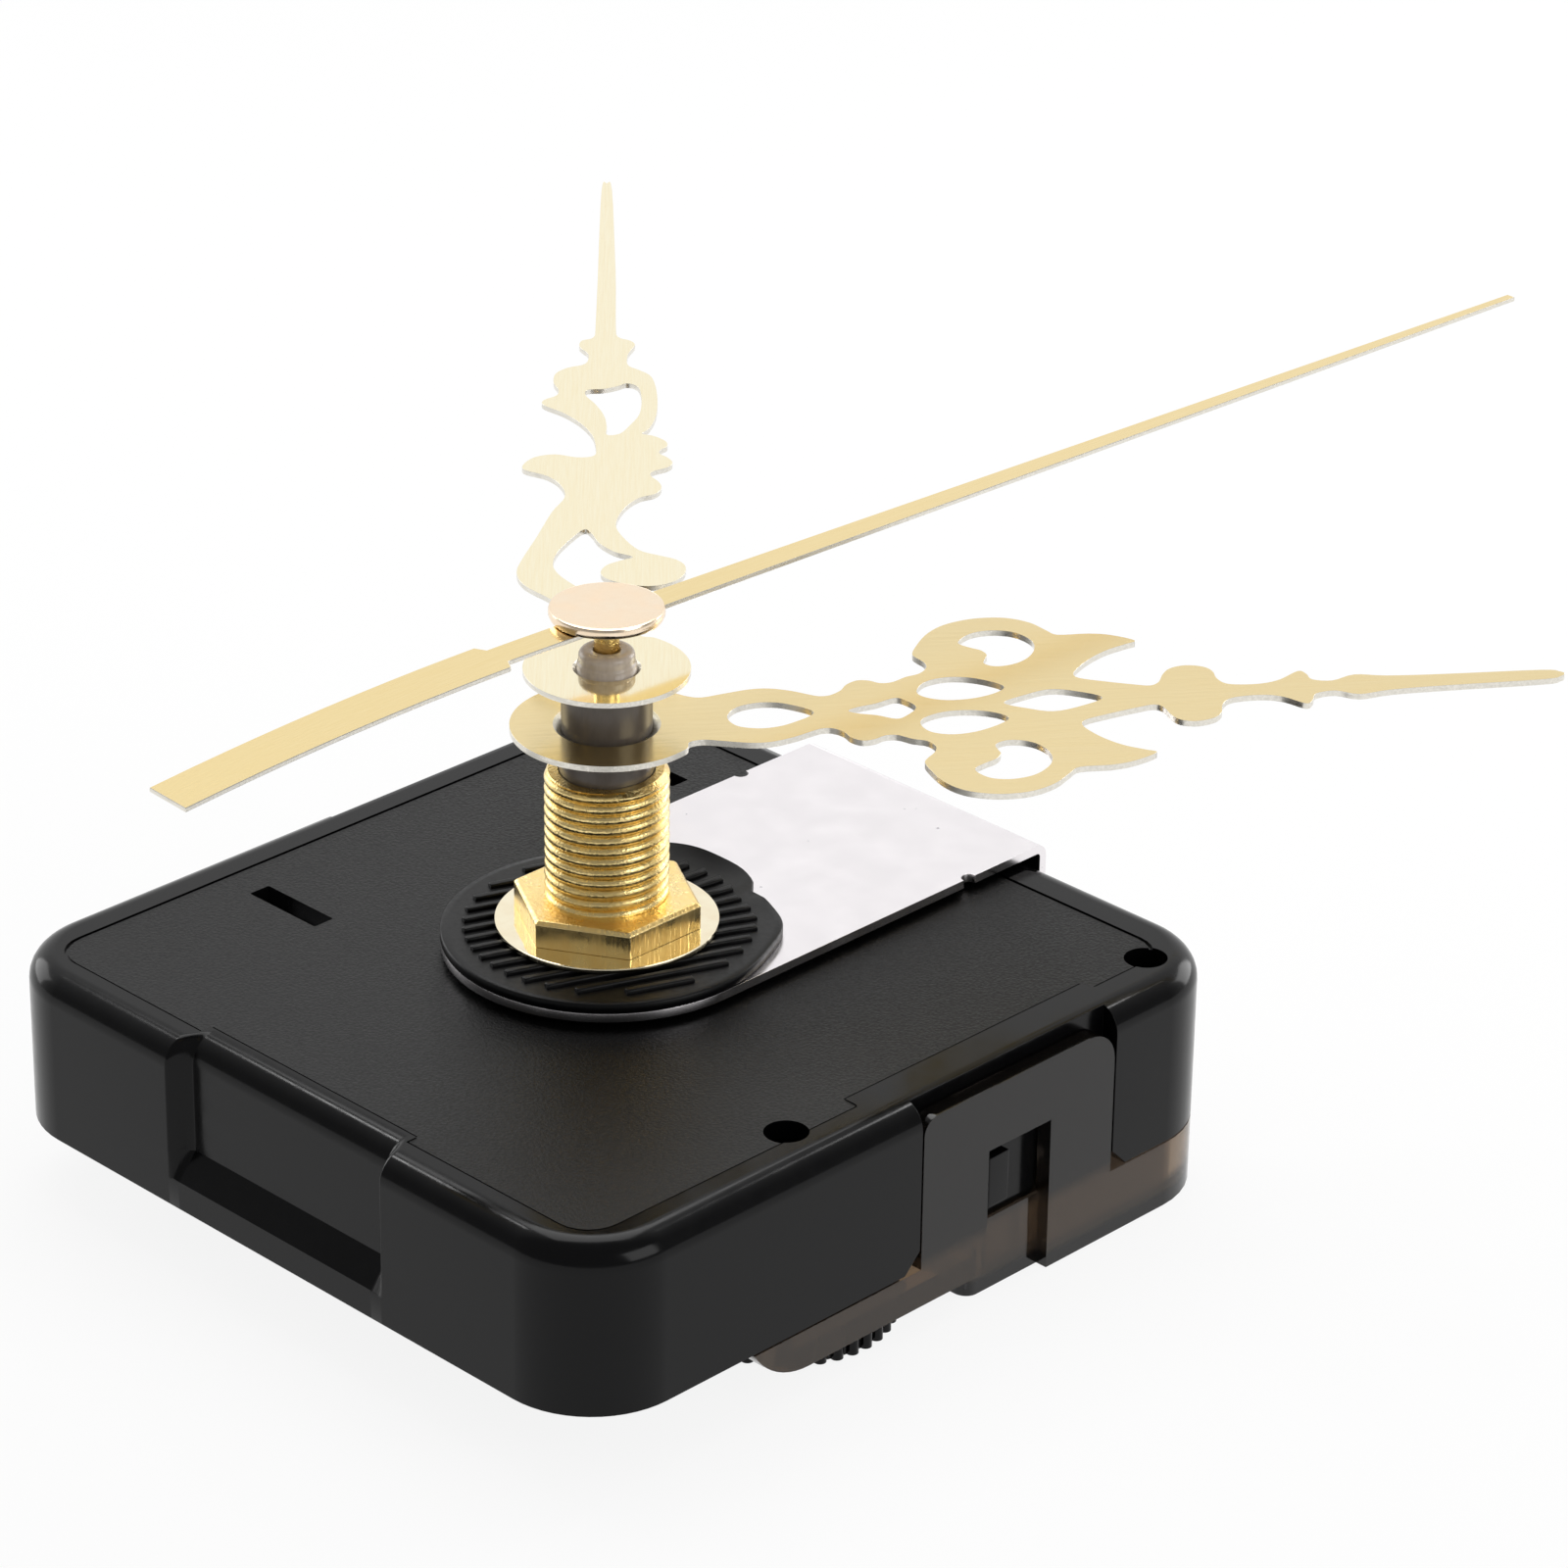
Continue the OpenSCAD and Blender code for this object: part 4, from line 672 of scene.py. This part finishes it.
add(case, rod((0, 0), SEAT_R, FACE - 0.3, FACE + 0.4))
round_edges(case, 0.14, 2, 42)
groove = field_tool(FACE - GROOVE_DEEP, FACE + 1)
cut(groove, field_tool(FACE - 1, FACE + 2, GROOVE_SHRINK))
field = field_tool(FIELD, FACE + 1)
cut(field, rod((0, 0), SEAT_R, FACE - 1, FACE + 2))
cut(case, field, groove)
for at in ((24.6, -8.4), (24.8, 24.1)):
    cut(case, rod(at, ROUND_HOLE_R, CEILING - 1, FACE + 1, sides=40))
cut(case, rounded_box(-21.7, -15.3, -11.5, -9.9, CEILING - 1.2, FACE + 1, 0.12, steps=2),
    rounded_box(-20.3, -13.9, 19.35, 20.85, CEILING - 1, FACE + 1, 0.12, steps=2),
    rod((0, 0), BUSH_HOLE_R, CEILING - 1, FACE + 1))
print("case faces:", len(case.data.polygons))

# %% [markdown]
# Inside, posts hold the middle plate and the board, and bosses in the roof take the arbors' ends.
# They are separate closed rods joined into the shell's mesh, since each stands on the roof.

# %% Posts, bosses and latch catches
# Each post is given by its place, radius, lower end and the lower end of the pin under it.
stands = [(at, 1.2, 8.4, 7) for at in ((-14.5, -8.2), (14, -9.2), (-15.2, 14.6), (12.6, 14.8))]
stands.append(((18, 24.2), 1.3, 5.2, 4))
posts = [rod(at, r, low, CEILING + 0.2, sides=32) for at, r, low, pin in stands]
posts += [rod(at, 0.6, pin, low + 0.1, sides=24) for at, r, low, pin in stands]
for at, r, low, hole in ((THIRD, 0.95, 11.9, 0.56), (WORK, 1.2, 14.5, 0.56), (KNOB, 1.8, 14.3, 0.86)):
    boss = rod(at, r, low, CEILING + 0.2, sides=32)
    cut(boss, rod(at, hole, low - 1, CEILING + 0.1, sides=32))
    posts.append(boss)
for side, edge in SIDES:
    catch = side_block(edge - side * WALL, edge - side * 0.25, 6.2, 8.1, 6.4, 10)
    round_edges(catch, 0.15)
    posts.append(catch)
only(*posts, case)
bpy.ops.object.join()
smooth(case)
finish_with(case, case_satin, case_matt)
for face in case.data.polygons:
    if face.normal.z > 0.9 and abs(face.center.z - FIELD * MM) < 1e-5:
        face.material_index = 1
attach(case, "case")
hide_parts("front_case")
print("case shell done")

# %% [markdown]
# The back cover snaps on. A tongue on each side reaches up into the case's notch, and a catch on the case
# sits in the tongue's window. Below the window a shallow channel lets the tongue bend.
# The plate steps up by 2 mm around the setting knob, which leaves room for a fingertip.

# %% Back cover
COVER_EDGE = BAY_NEAR + 14.1
EAR = COVER_EDGE - 2.7
POCKET_X, POCKET_Y = KNOB[0] - 8.16, KNOB[1] + 9.06
POCKET_HIGH, POCKET_ROUND = 2, 3
EAR_WIDE, EAR_ROUND, EAR_RUN = 1.7, 5.5, 4.8
STRIP_X = RIGHT - 0.85
PARTING_GAP = 0.12
TONGUE_PLAY, TONGUE_THICK = 0.15, 1.1


def cover_block(low, high, inset):
    piece = rounded_box(LEFT + inset, RIGHT - inset, NEAR + inset, FAR - inset, low, high, CORNER - inset)
    limit = COVER_EDGE + inset
    ear = limit if inset else EAR
    cut(piece, block((LEFT + EAR_WIDE, NEAR - 1, low - 1), (RIGHT - EAR_WIDE, limit, high + 1)),
        block((LEFT - 1, NEAR - 1, low - 2), (RIGHT + 1, ear, high + 2)))
    return piece


def at_strip_corner(edge):
    return upright(edge) and all(abs(v.co.x - STRIP_X * MM) < 1e-5 and abs(v.co.y - POCKET_Y * MM) < 1e-5
                                 for v in edge.verts)


cover = cover_block(0, PARTING - PARTING_GAP, 0)
cover.name = "smoky_cover"
deep = cover_block(SKIN, PARTING + 1, SKIN)
cut(deep, rounded_box(POCKET_X - SKIN, RIGHT + 9, NEAR - 9, POCKET_Y + SKIN,
                      SKIN - 1, POCKET_HIGH + SKIN, POCKET_ROUND, steps=6),
    block((STRIP_X - SKIN, POCKET_Y + SKIN - 1, SKIN - 1),
          (RIGHT + 9, WINDOW_LOW + SKIN + 0.1, POCKET_HIGH + SKIN)))
cut(cover, deep)
cut(cover, rounded_box(POCKET_X, RIGHT + 9, NEAR - 9, POCKET_Y, -1, POCKET_HIGH, POCKET_ROUND, steps=6),
    block((STRIP_X, POCKET_Y - 1, -1), (RIGHT + 9, WINDOW_LOW + 0.1, POCKET_HIGH)))
bevel_where(cover, at_strip_corner, 1, 6)
for base, x0, x1 in ((POCKET_HIGH, RIGHT - 1.8, RIGHT + 0.5), (0, LEFT - 0.5, LEFT + 1.8)):
    turn = 180 + math.degrees(math.acos(EAR_RUN / EAR_ROUND))
    edge_line = [(EAR - 0.5, base - 0.5), (EAR + EAR_RUN, base - 0.5), (EAR + EAR_RUN, base)]
    edge_line += arc((EAR + EAR_RUN, base + EAR_ROUND), EAR_ROUND, 270, turn, 10)[1:]
    edge_line += [(EAR - 0.5, edge_line[-1][1])]
    cut(cover, plate(edge_line, x0, x1, side_on))


def tongue(side, edge):
    low, high = LATCH_LOW + TONGUE_PLAY, LATCH_HIGH - TONGUE_PLAY
    top = FACE - 1.1
    outline = ([(low, 4.5)] + arc((low + 1.2, top - 1.2), 1.2, 180, 90, 6)
               + arc((high - 2.4, top - 2.4), 2.4, 90, 0, 8) + [(high, 4.5)])
    inner = edge - side * TONGUE_THICK
    piece = plate(outline, min(edge, inner), max(edge, inner), side_on)
    cut(piece, block((edge - 2, WINDOW_LOW, WINDOW_FOOT), (edge + 2, WINDOW_HIGH, 10.8)))
    return piece


for side, edge in SIDES:
    add(cover, tongue(side, edge))
    add(cover, side_block(edge - side * 2.4, edge - side * TONGUE_THICK,
                          WINDOW_LOW - 0.6, WINDOW_HIGH + 0.6, 0.5, PARTING))
    cut(cover, side_block(edge - side * 0.85, edge + side * 1,
                          WINDOW_LOW, WINDOW_HIGH, -1, WINDOW_FOOT + 0.1))
cut(cover, rod(KNOB, 1.56, -1, PARTING, sides=32))
round_edges(cover, 0.16, 2, 42)
INTER, ROTOR = (-7.442, 2.709), (-9.837, 9.287)
bosses = []
for at, r, high, hole in (((0, 0), 1.3, 4.6, 0.46), (INTER, 1.1, 2.9, 0.36), (ROTOR, 1.0, 2.5, 0.36)):
    boss = rod(at, r, SKIN - 0.05, high, sides=32)
    cut(boss, rod(at, hole, SKIN + 0.4, high + 1, sides=24))
    bosses.append(boss)
only(*bosses, cover)
bpy.ops.object.join()
smooth(cover)
finish_with(cover, smoky)
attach(cover, "case")
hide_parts("back_cover")
print("cover faces:", len(cover.data.polygons))

# %% [markdown]
# The hanging plate is one strip of zinc-plated steel, 0.6 mm thick. It lies under the gasket, bends down
# over the twelve o'clock side and ends in a tab with a keyhole. Its side profile is drawn once with both
# bends and made as wide as the strip, and the plan of the strip then trims it.

# %% Hanging plate
SHEET, BEND = 0.6, 0.9
PLATE_LOW = FACE + 0.4
PLATE_TOP = PLATE_LOW + SHEET
FLANGE = FAR + 0.15
OUTER = FLANGE + SHEET
TAB, TAB_LONG, TAB_ROUND = 0.7, 11, 4
HALF = 10.65
profile = [(-12, PLATE_TOP)] + arc((OUTER - BEND, PLATE_TOP - BEND), BEND, 90, 0, 6)
profile += [(OUTER, TAB + SHEET + 0.3)] + arc((OUTER + 0.3, TAB + SHEET + 0.3), 0.3, 180, 270, 3)[1:]
profile += [(FLANGE + TAB_LONG, TAB + SHEET), (FLANGE + TAB_LONG, TAB)]
profile += arc((FLANGE + BEND, TAB + BEND), BEND, 270, 180, 6)
profile += arc((OUTER - BEND, PLATE_TOP - BEND), BEND - SHEET, 0, 90, 4) + [(-12, PLATE_LOW)]
hanger = plate(profile, -HALF, HALF, side_on, "hanging_strip")
STRAIGHT = FLANGE + TAB_LONG - TAB_ROUND
plan = arc((0, 0), HALF, -180, 0, 40) + [(HALF, STRAIGHT)]
plan += arc((HALF - TAB_ROUND, STRAIGHT), TAB_ROUND, 0, 90, 8)
plan += arc((-HALF + TAB_ROUND, STRAIGHT), TAB_ROUND, 90, 180, 8)
keep_inside(hanger, plate(plan, -1, 20))
HANG, HANG_R = (0, OUTER + 6), 3
PLATE_BORE, NICK_R, NICK_Y = 3.75, 0.55, 22.6
cut(hanger, rod((0, 0), PLATE_BORE, 10, 20), rod(HANG, HANG_R, -1, 3, sides=48),
    rounded_box(-1, 1, HANG[1], HANG[1] + 4, -1, 3, 0.9, steps=4),
    rod((-HALF, NICK_Y), NICK_R, 14, 20, sides=24), rod((HALF, NICK_Y), NICK_R, 14, 20, sides=24))
round_edges(hanger, 0.08, 2, 50)
smooth(hanger)
finish_with(hanger, zinc)
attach(hanger, "case")
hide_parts("hanging_plate")
print("hanging plate faces:", len(hanger.data.polygons))

# %% [markdown]
# Round pieces with a profile of their own are turned: the Screw modifier sweeps the profile round
# the shaft. With a rise for each turn, the same helper gives a thread.

# %% Turned profiles
def sweep(profile, name, steps, turns=1, rise=0.0, open_side=None):
    """Sweeps a closed profile of radius and height. open_side tells which edge is left out of it."""
    bpy.ops.mesh.primitive_circle_add(vertices=len(profile), radius=1, fill_type="NOTHING")
    piece = seat(bpy.context.object, name)
    for corner, (r, z) in zip(piece.data.vertices, profile):
        corner.co = (r * MM, 0, z * MM)
    if open_side:
        pick(piece, open_side)
        bpy.ops.mesh.delete(type="EDGE_FACE")
        leave_edit()
    screw = piece.modifiers.new("sweep", "SCREW")
    screw.axis = "Z"
    screw.angle = 2 * math.pi
    screw.screw_offset = rise * MM
    screw.iterations = turns
    screw.steps = screw.render_steps = steps
    screw.use_merge_vertices = True
    screw.merge_threshold = 1e-6
    only(piece)
    bpy.ops.object.modifier_apply(modifier=screw.name)
    tidy_mesh(piece)
    return piece


# %% [markdown]
# The gasket is a rubber disc with a plain rim and straight raised bars, so that it grips the dial.
# The disc is a swept profile with rings enough to bend, and one bar is drawn for each place across it.
# The far side of the rim has lifted off the plate and curls a little, as soft rubber does.

# %% Ribbed gasket
GASKET_LOW = PLATE_TOP
GASKET_TOP = GASKET_LOW + 1
BAR_HIGH, BAR_WIDE, BAR_PITCH = 0.3, 0.5, 1.28
BAR_END, BAR_TOP = 9.25, GASKET_TOP - 0.01
BAR_TURN = math.radians(68)
FLAT = GASKET_TOP - BAR_HIGH
# The rim's lift is given by its height, the angle where it is highest and its reach to both sides.
# Each of its waves is given by its size, its angle and its width.
LIFT, LIFT_AT, LIFT_REACH = 1.1, 102, 50
WAVES = ((0.6, 48, 14), (-0.5, 70, 3), (0.3, 82, 8))
radii = [3.8, 6.8, 7.4, 8.0, 8.6, 9.2, 9.7, 10.2, 10.6]
section = [(r, FLAT) for r in radii] + [(10.7, FLAT - 0.1), (10.7, GASKET_LOW + 0.1)]
section += [(r, GASKET_LOW) for r in reversed(radii)]
gasket = sweep(section, "ribbed_gasket", 144)
along = Vector((math.cos(BAR_TURN), math.sin(BAR_TURN)))
bars = []
for k in range(-7, 8):
    across = k * BAR_PITCH
    half = math.sqrt(BAR_END ** 2 - across ** 2)
    steps = max(4, round(2 * half / 0.8))
    line = [(-half + 2 * half * n / steps, -BAR_WIDE / 2) for n in range(steps + 1)]
    line += [(u, -v) for u, v in reversed(line)]
    line = [(u * along.x - (v + across) * along.y, u * along.y + (v + across) * along.x) for u, v in line]
    bar = plate(line, FLAT - 0.1, BAR_TOP)
    bevel_where(bar, lambda edge: at_height(edge, BAR_TOP), 0.14, 2)
    if half > 4 and abs(across) < 3.8:
        cut(bar, rod((0, 0), 4.2, GASKET_LOW - 1, GASKET_TOP + 1))
    bars.append(bar)
only(*bars, gasket)
bpy.ops.object.join()
for point in gasket.data.vertices:
    x, y = point.co.x / MM, point.co.y / MM
    r, a = math.hypot(x, y), math.degrees(math.atan2(y, x))
    near = max(0, 1 - abs(a - LIFT_AT) / LIFT_REACH)
    out_by = min(1, max(0, (r - 7.4) / 3.2))
    curl = sum(size * math.exp(-((a - at) / width) ** 2) for size, at, width in WAVES)
    point.co.x += curl * out_by * x / r * MM
    point.co.y += curl * out_by * y / r * MM
    point.co.z += LIFT * MM * near * near * (3 - 2 * near) * out_by * out_by
smooth(gasket, 50)
finish_with(gasket, rubber)
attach(gasket, "case")
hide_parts("rubber_gasket")
print("gasket faces:", len(gasket.data.polygons), "bars:", len(bars))

# %% [markdown]
# Washer and nut are turned and stamped brass. The nut is a plain hexagon with a narrow bevel round its
# upper face, and a shallow countersink leads the thread in.

# %% Washer and nut
WASHER_TOP = GASKET_TOP + 0.35
WASHER_R, WASHER_BORE = 7.22, 3.72
NUT_TOP = WASHER_TOP + 1.85
NUT_BORE, SINK_LOW, SINK_HIGH = 3.62, 3.6, 4.3
washer = rod((0, 0), WASHER_R, GASKET_TOP, WASHER_TOP, "flat_washer_ring", 96)
cut(washer, rod((0, 0), WASHER_BORE, GASKET_TOP - 1, WASHER_TOP + 1))
round_edges(washer, 0.09, 2, 50)
smooth(washer)
finish_with(washer, washer_brass)
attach(washer, "case")
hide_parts("flat_washer")

ACROSS = 10.8
nut = rod((0, 0), ACROSS / 2 / math.cos(math.radians(30)), WASHER_TOP, NUT_TOP, "hexagon_nut", 6)
bevel_where(nut, lambda edge: at_height(edge, NUT_TOP), 0.22, 1)
cut(nut, rod((0, 0), NUT_BORE, WASHER_TOP - 1, NUT_TOP + 1))
sink = rod((0, 0), SINK_HIGH, NUT_TOP - 0.45, NUT_TOP + 0.5)
for point in sink.data.vertices:
    if point.co.z < NUT_TOP * MM:
        point.co.x *= SINK_LOW / SINK_HIGH
        point.co.y *= SINK_LOW / SINK_HIGH
cut(nut, sink)
round_edges(nut, 0.07, 2, 40)
smooth(nut)
finish_with(nut, nut_brass)
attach(nut, "case")
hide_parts("hex_nut")
print("washer and nut done")

# %% [markdown]
# The bush carries a fine thread with 0.75 mm between turns. One tooth's profile is swept up a helix,
# two planes trim the swept skin to length, and a bore is then cut for the hour tube.

# %% Threaded bush
BUSH_TOP = FACE + 13
BUSH_BORE, BUSH_FLANGE = 3.11, 5
THREAD = 0.75
TURNS = 16
start = BUSH_TOP - (TURNS - 2) * THREAD
tooth = [(3.7, 0), (3.79, 0.04), (3.88, 0.1), (3.95, 0.18), (3.99, 0.28), (4.0, 0.375), (3.99, 0.47),
         (3.95, 0.57), (3.88, 0.65), (3.79, 0.71), (3.7, THREAD)]
bush = sweep([(r, start + z) for r, z in tooth], "bush_thread", 72, TURNS, THREAD,
             lambda edge: abs(edge.verts[0].co.z - edge.verts[1].co.z) > 0.6 * MM)
slice_at(bush, (0, 0, PLATE_LOW), use_fill=True, clear_inner=True)
slice_at(bush, (0, 0, BUSH_TOP), use_fill=True, clear_outer=True)
tidy_mesh(bush)
end = rod((0, 0), 4.6, PLATE_LOW - 1, BUSH_TOP, sides=96)
bevel_where(end, lambda edge: at_height(edge, BUSH_TOP), 0.95, 1)
keep_inside(bush, end)
cut(bush, rod((0, 0), BUSH_BORE, PLATE_LOW - 2, BUSH_TOP + 1, sides=96))
flange = rod((0, 0), BUSH_FLANGE, CEILING - 0.6, PLATE_LOW, sides=96)
cut(flange, rod((0, 0), BUSH_BORE, CEILING - 2, BUSH_TOP, sides=96))
only(flange, bush)
bpy.ops.object.join()
smooth(bush, 28)
finish_with(bush, brass)
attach(bush, "case")
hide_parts("threaded_bush")
print("bush faces:", len(bush.data.polygons))

# %% [markdown]
# The hour and minute tubes are moulded with their wheels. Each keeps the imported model's teeth, copied
# below the roof of the case, and gets a swept tube above them, with a rounded end.

# %% Tubes
def below(node, name, height):
    """The copy of a node, cut off above a height."""
    piece = copy_of(node, name)
    slice_at(piece, (0, 0, height), clear_outer=True)
    return piece


HOUR_TOP = FACE + 16.05
MINUTE_TOP = FACE + 19.98
SECOND_TOP = FACE + 23.45
HOUR_SHEET, MINUTE_SHEET = 0.4, 0.35
HOUR_END = MINUTE_TOP - MINUTE_SHEET - 0.8
HOUR_FOOT, MINUTE_FOOT = 14.15, 12.85
BORE, R = 2.26, 3.05
profile = [(BORE, HOUR_FOOT), (R, HOUR_FOOT), (R, HOUR_TOP - HOUR_SHEET), (2.9, HOUR_TOP - HOUR_SHEET)]
profile += arc((2.4, HOUR_END - 0.5), 0.5, 0, 90, 6) + [(BORE, HOUR_END)]
hour_tube = sweep(profile, "hour_tube_and_wheel", 96)
only(below("hour_wheel", "teeth", HOUR_FOOT), hour_tube)
bpy.ops.object.join()
smooth(hour_tube)
finish_with(hour_tube, tube_dark)
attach(hour_tube, "hour")
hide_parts("hour_wheel")

END = MINUTE_TOP + 1.3
GROOVE = MINUTE_TOP + 0.42
BORE, R, NECK_R = 0.46, 2.2, 1.9
profile = [(BORE, MINUTE_FOOT), (R, MINUTE_FOOT), (R, MINUTE_TOP - MINUTE_SHEET)]
profile += [(NECK_R, MINUTE_TOP - MINUTE_SHEET), (NECK_R, GROOVE - 0.1)]
profile += [(1.85, GROOVE), (1.8, GROOVE + 0.05), (1.8, GROOVE + 0.15)]
profile += arc((1.34, END - 0.46), 0.46, 0, 90, 6) + [(0.95, END), (0.86, END - 0.08)]
profile += [(0.86, END - 0.6), (BORE, END - 0.6)]
minute_tube = sweep(profile, "minute_tube_and_pinion", 96)
only(below("minute_tube", "teeth", MINUTE_FOOT), minute_tube)
bpy.ops.object.join()
smooth(minute_tube)
finish_with(minute_tube, tube_grey)
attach(minute_tube, "minute")
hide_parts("minute_tube")
print("tubes done")

# %% [markdown]
# The hands are punched from gold-coloured aluminium sheet, so their cut edges are bare and silvery.
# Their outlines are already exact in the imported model. Each copy gets the small round that the punch
# leaves, and its side faces take the bare metal.

# %% Hour and minute hands
def paint_sheet(piece, gold):
    """Gold on top and bare metal on the cut edges. Level faces stay flat, to mirror without ripples."""
    only(piece)
    bpy.ops.object.shade_smooth_by_angle(angle=math.radians(40))
    finish_with(piece, gold, bare_edge)
    for face in piece.data.polygons:
        face.material_index = 0 if abs(face.normal.z) > 0.9 else 1
        if abs(face.normal.z) > 0.99:
            face.use_smooth = False


def punched(node, name, gold, body):
    piece = copy_of(node, name)
    bpy.ops.object.mode_set(mode="EDIT")
    bpy.ops.mesh.select_all(action="SELECT")
    bpy.ops.mesh.dissolve_limited(angle_limit=math.radians(0.5))
    leave_edit()
    round_edges(piece, 0.04, 1, 50)
    paint_sheet(piece, gold)
    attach(piece, body)
    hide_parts(node)


punched("hour_hand", "hour_hand_punched", hour_gold, "hour")
punched("minute_hand", "minute_hand_punched", minute_gold, "minute")
print("hour and minute hands done")

# %% [markdown]
# The second hand is long and thin, and its tail has been bent down a little in handling.
# It is a plate drawn from its tail to its point, cut across often enough that it can bend smoothly.

# %% Second hand, cap and post
NECK, TAIL, REACH = 8.8, 34, 84
HALF_TAIL, HALF_HAND, TAPER = 1.8, 1.05, 0.7
DROOP = 0.0021
TURN = math.radians(86.6)
DIRECTION = Vector((math.cos(TURN), math.sin(TURN), 0))
upper = [(-TAIL + (TAIL - NECK - 0.4) * k / 8, HALF_TAIL) for k in range(9)] + [(-NECK, HALF_HAND)]
upper += [(-NECK + (NECK + 3) * k / 6, HALF_HAND) for k in range(1, 7)]
upper += [(3 + (REACH - 3) * k / 12, HALF_HAND - TAPER * k / 12) for k in range(1, 13)]
outline = [(u, -v) for u, v in upper] + [(u, v) for u, v in reversed(upper)]
outline = [(u * math.cos(TURN) - v * math.sin(TURN), u * math.sin(TURN) + v * math.cos(TURN))
           for u, v in outline]
second = plate(outline, SECOND_TOP - 0.3, SECOND_TOP, name="second_hand_punched")
round_edges(second, 0.04, 1, 60)
for k in range(14):
    slice_at(second, DIRECTION * (-TAIL + 3 + k * 2.5), DIRECTION)
for point in second.data.vertices:
    along = point.co.dot(DIRECTION) / MM
    droop = max(0, -along - 6)
    point.co.z -= DROOP * droop * droop * MM
paint_sheet(second, second_gold)
for face in second.data.polygons:
    face.use_smooth = True
only(second)
bpy.ops.object.shade_smooth_by_angle(angle=math.radians(25))
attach(second, "second")
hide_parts("second_hand")

CAP_TOP = SECOND_TOP + 0.8
CAP_R, POST_R, COLLAR_R, POST_BORE = 3.68, 0.8, 1.15, 0.42
cap = rod((0, 0), CAP_R, SECOND_TOP, CAP_TOP, "turned_cap", 96)
bevel_where(cap, lambda edge: at_height(edge, CAP_TOP), 0.25, 2)
bevel_where(cap, lambda edge: at_height(edge, SECOND_TOP), 0.3, 2)
smooth(cap, 25)
finish_with(cap, cap_brass)
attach(cap, "second")
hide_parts("second_cap")

post = rod((0, 0), POST_R, MINUTE_TOP + 0.85, SECOND_TOP, "second_post_turned", 48)
add(post, rod((0, 0), COLLAR_R, SECOND_TOP - 0.75, SECOND_TOP - 0.3, sides=48))
cut(post, rod((0, 0), POST_BORE, SECOND_TOP - 4, SECOND_TOP - 0.1, sides=32))
round_edges(post, 0.06, 2, 50)
smooth(post)
finish_with(post, brass)
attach(post, "second")
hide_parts("second_post")
print("second hand done")

# %% [markdown]
# The parts inside show only through the open battery bay and faintly through the cover.
# Their imported shapes are right, so they keep them and get the finish that each has in a real movement;
# the copper winding also gets painted shade in the grooves between its turns.

# %% Finishes of the inner parts
copper, shader = surface("copper_wire_enamelled", "#b4622c", 0.3, 0.85)
place = node(copper, "ShaderNodeTexCoord")
wave = node(copper, "ShaderNodeTexWave", settings={"bands_direction": "X"},
            inputs={"Scale": bands(0.25), "Distortion": 0.4}, links={"Vector": place.outputs["Object"]})
bump = node(copper, "ShaderNodeBump", inputs={"Strength": 0.6, "Distance": 0.05 * MM},
            links={"Height": wave.outputs["Fac"]})
join(copper, bump.outputs["Normal"], shader, "Normal")
# Painted shade: the copper is darker in the grooves between the wire turns, where the wave is low.
blend_colour(copper, shader, wave.outputs["Fac"], 0.1, 0.9, "#8a4318", "#c8743a")

board_brown, shader = surface("phenolic_board_brown", "#96683a", 0.5)
noise = grain(board_brown, shader, 0.8, 0.15, 0.02, stretch=(1, 0.2, 1))
blend_colour(board_brown, shader, noise.outputs["Fac"], 0.3, 0.7, "#855a30", "#a57545")

resin, shader = surface("epoxy_resin_black", "#08080a", 0.18)
grain(resin, shader, 1.5, 0.1, 0.05)

sintered, shader = surface("magnet_sintered", "#3c3d41", 0.45, 0.8)
grain(sintered, shader, 0.1, 0.3, 0.02)

iron = rolled("iron_sheet_annealed", "#8d9096", "#7b7e84", 0.34, 20, 0.3, 0.15)
spring_plate = rolled("steel_spring_nickel", "#cfd0d2", "#b9babd", 0.25, 0, 0.2, 0.15)

inner = {
    acetal: ("middle_plate", "coil_former", "rotor_pinion", "intermediate_wheel", "second_wheel",
             "third_wheel", "centre_wheel", "minute_work_wheel"),
    iron: ("stator", "coil_core"),
    copper: ("coil_winding",),
    board_brown: ("circuit_board",),
    spring_plate: ("quartz_crystal", "positive_contact", "negative_contact"),
    resin: ("chip_cover",),
    sintered: ("rotor_magnet",),
    arbor_steel: ("second_arbor", "third_arbor", "minute_work_arbor"),
    brass: ("clutch_spring",),
    case_satin: ("setting_knob",),
}
for material, names in inner.items():
    for name in names:
        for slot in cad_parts[name].material_slots:
            slot.material = material
print("inner parts finished:", sum(len(names) for names in inner.values()))
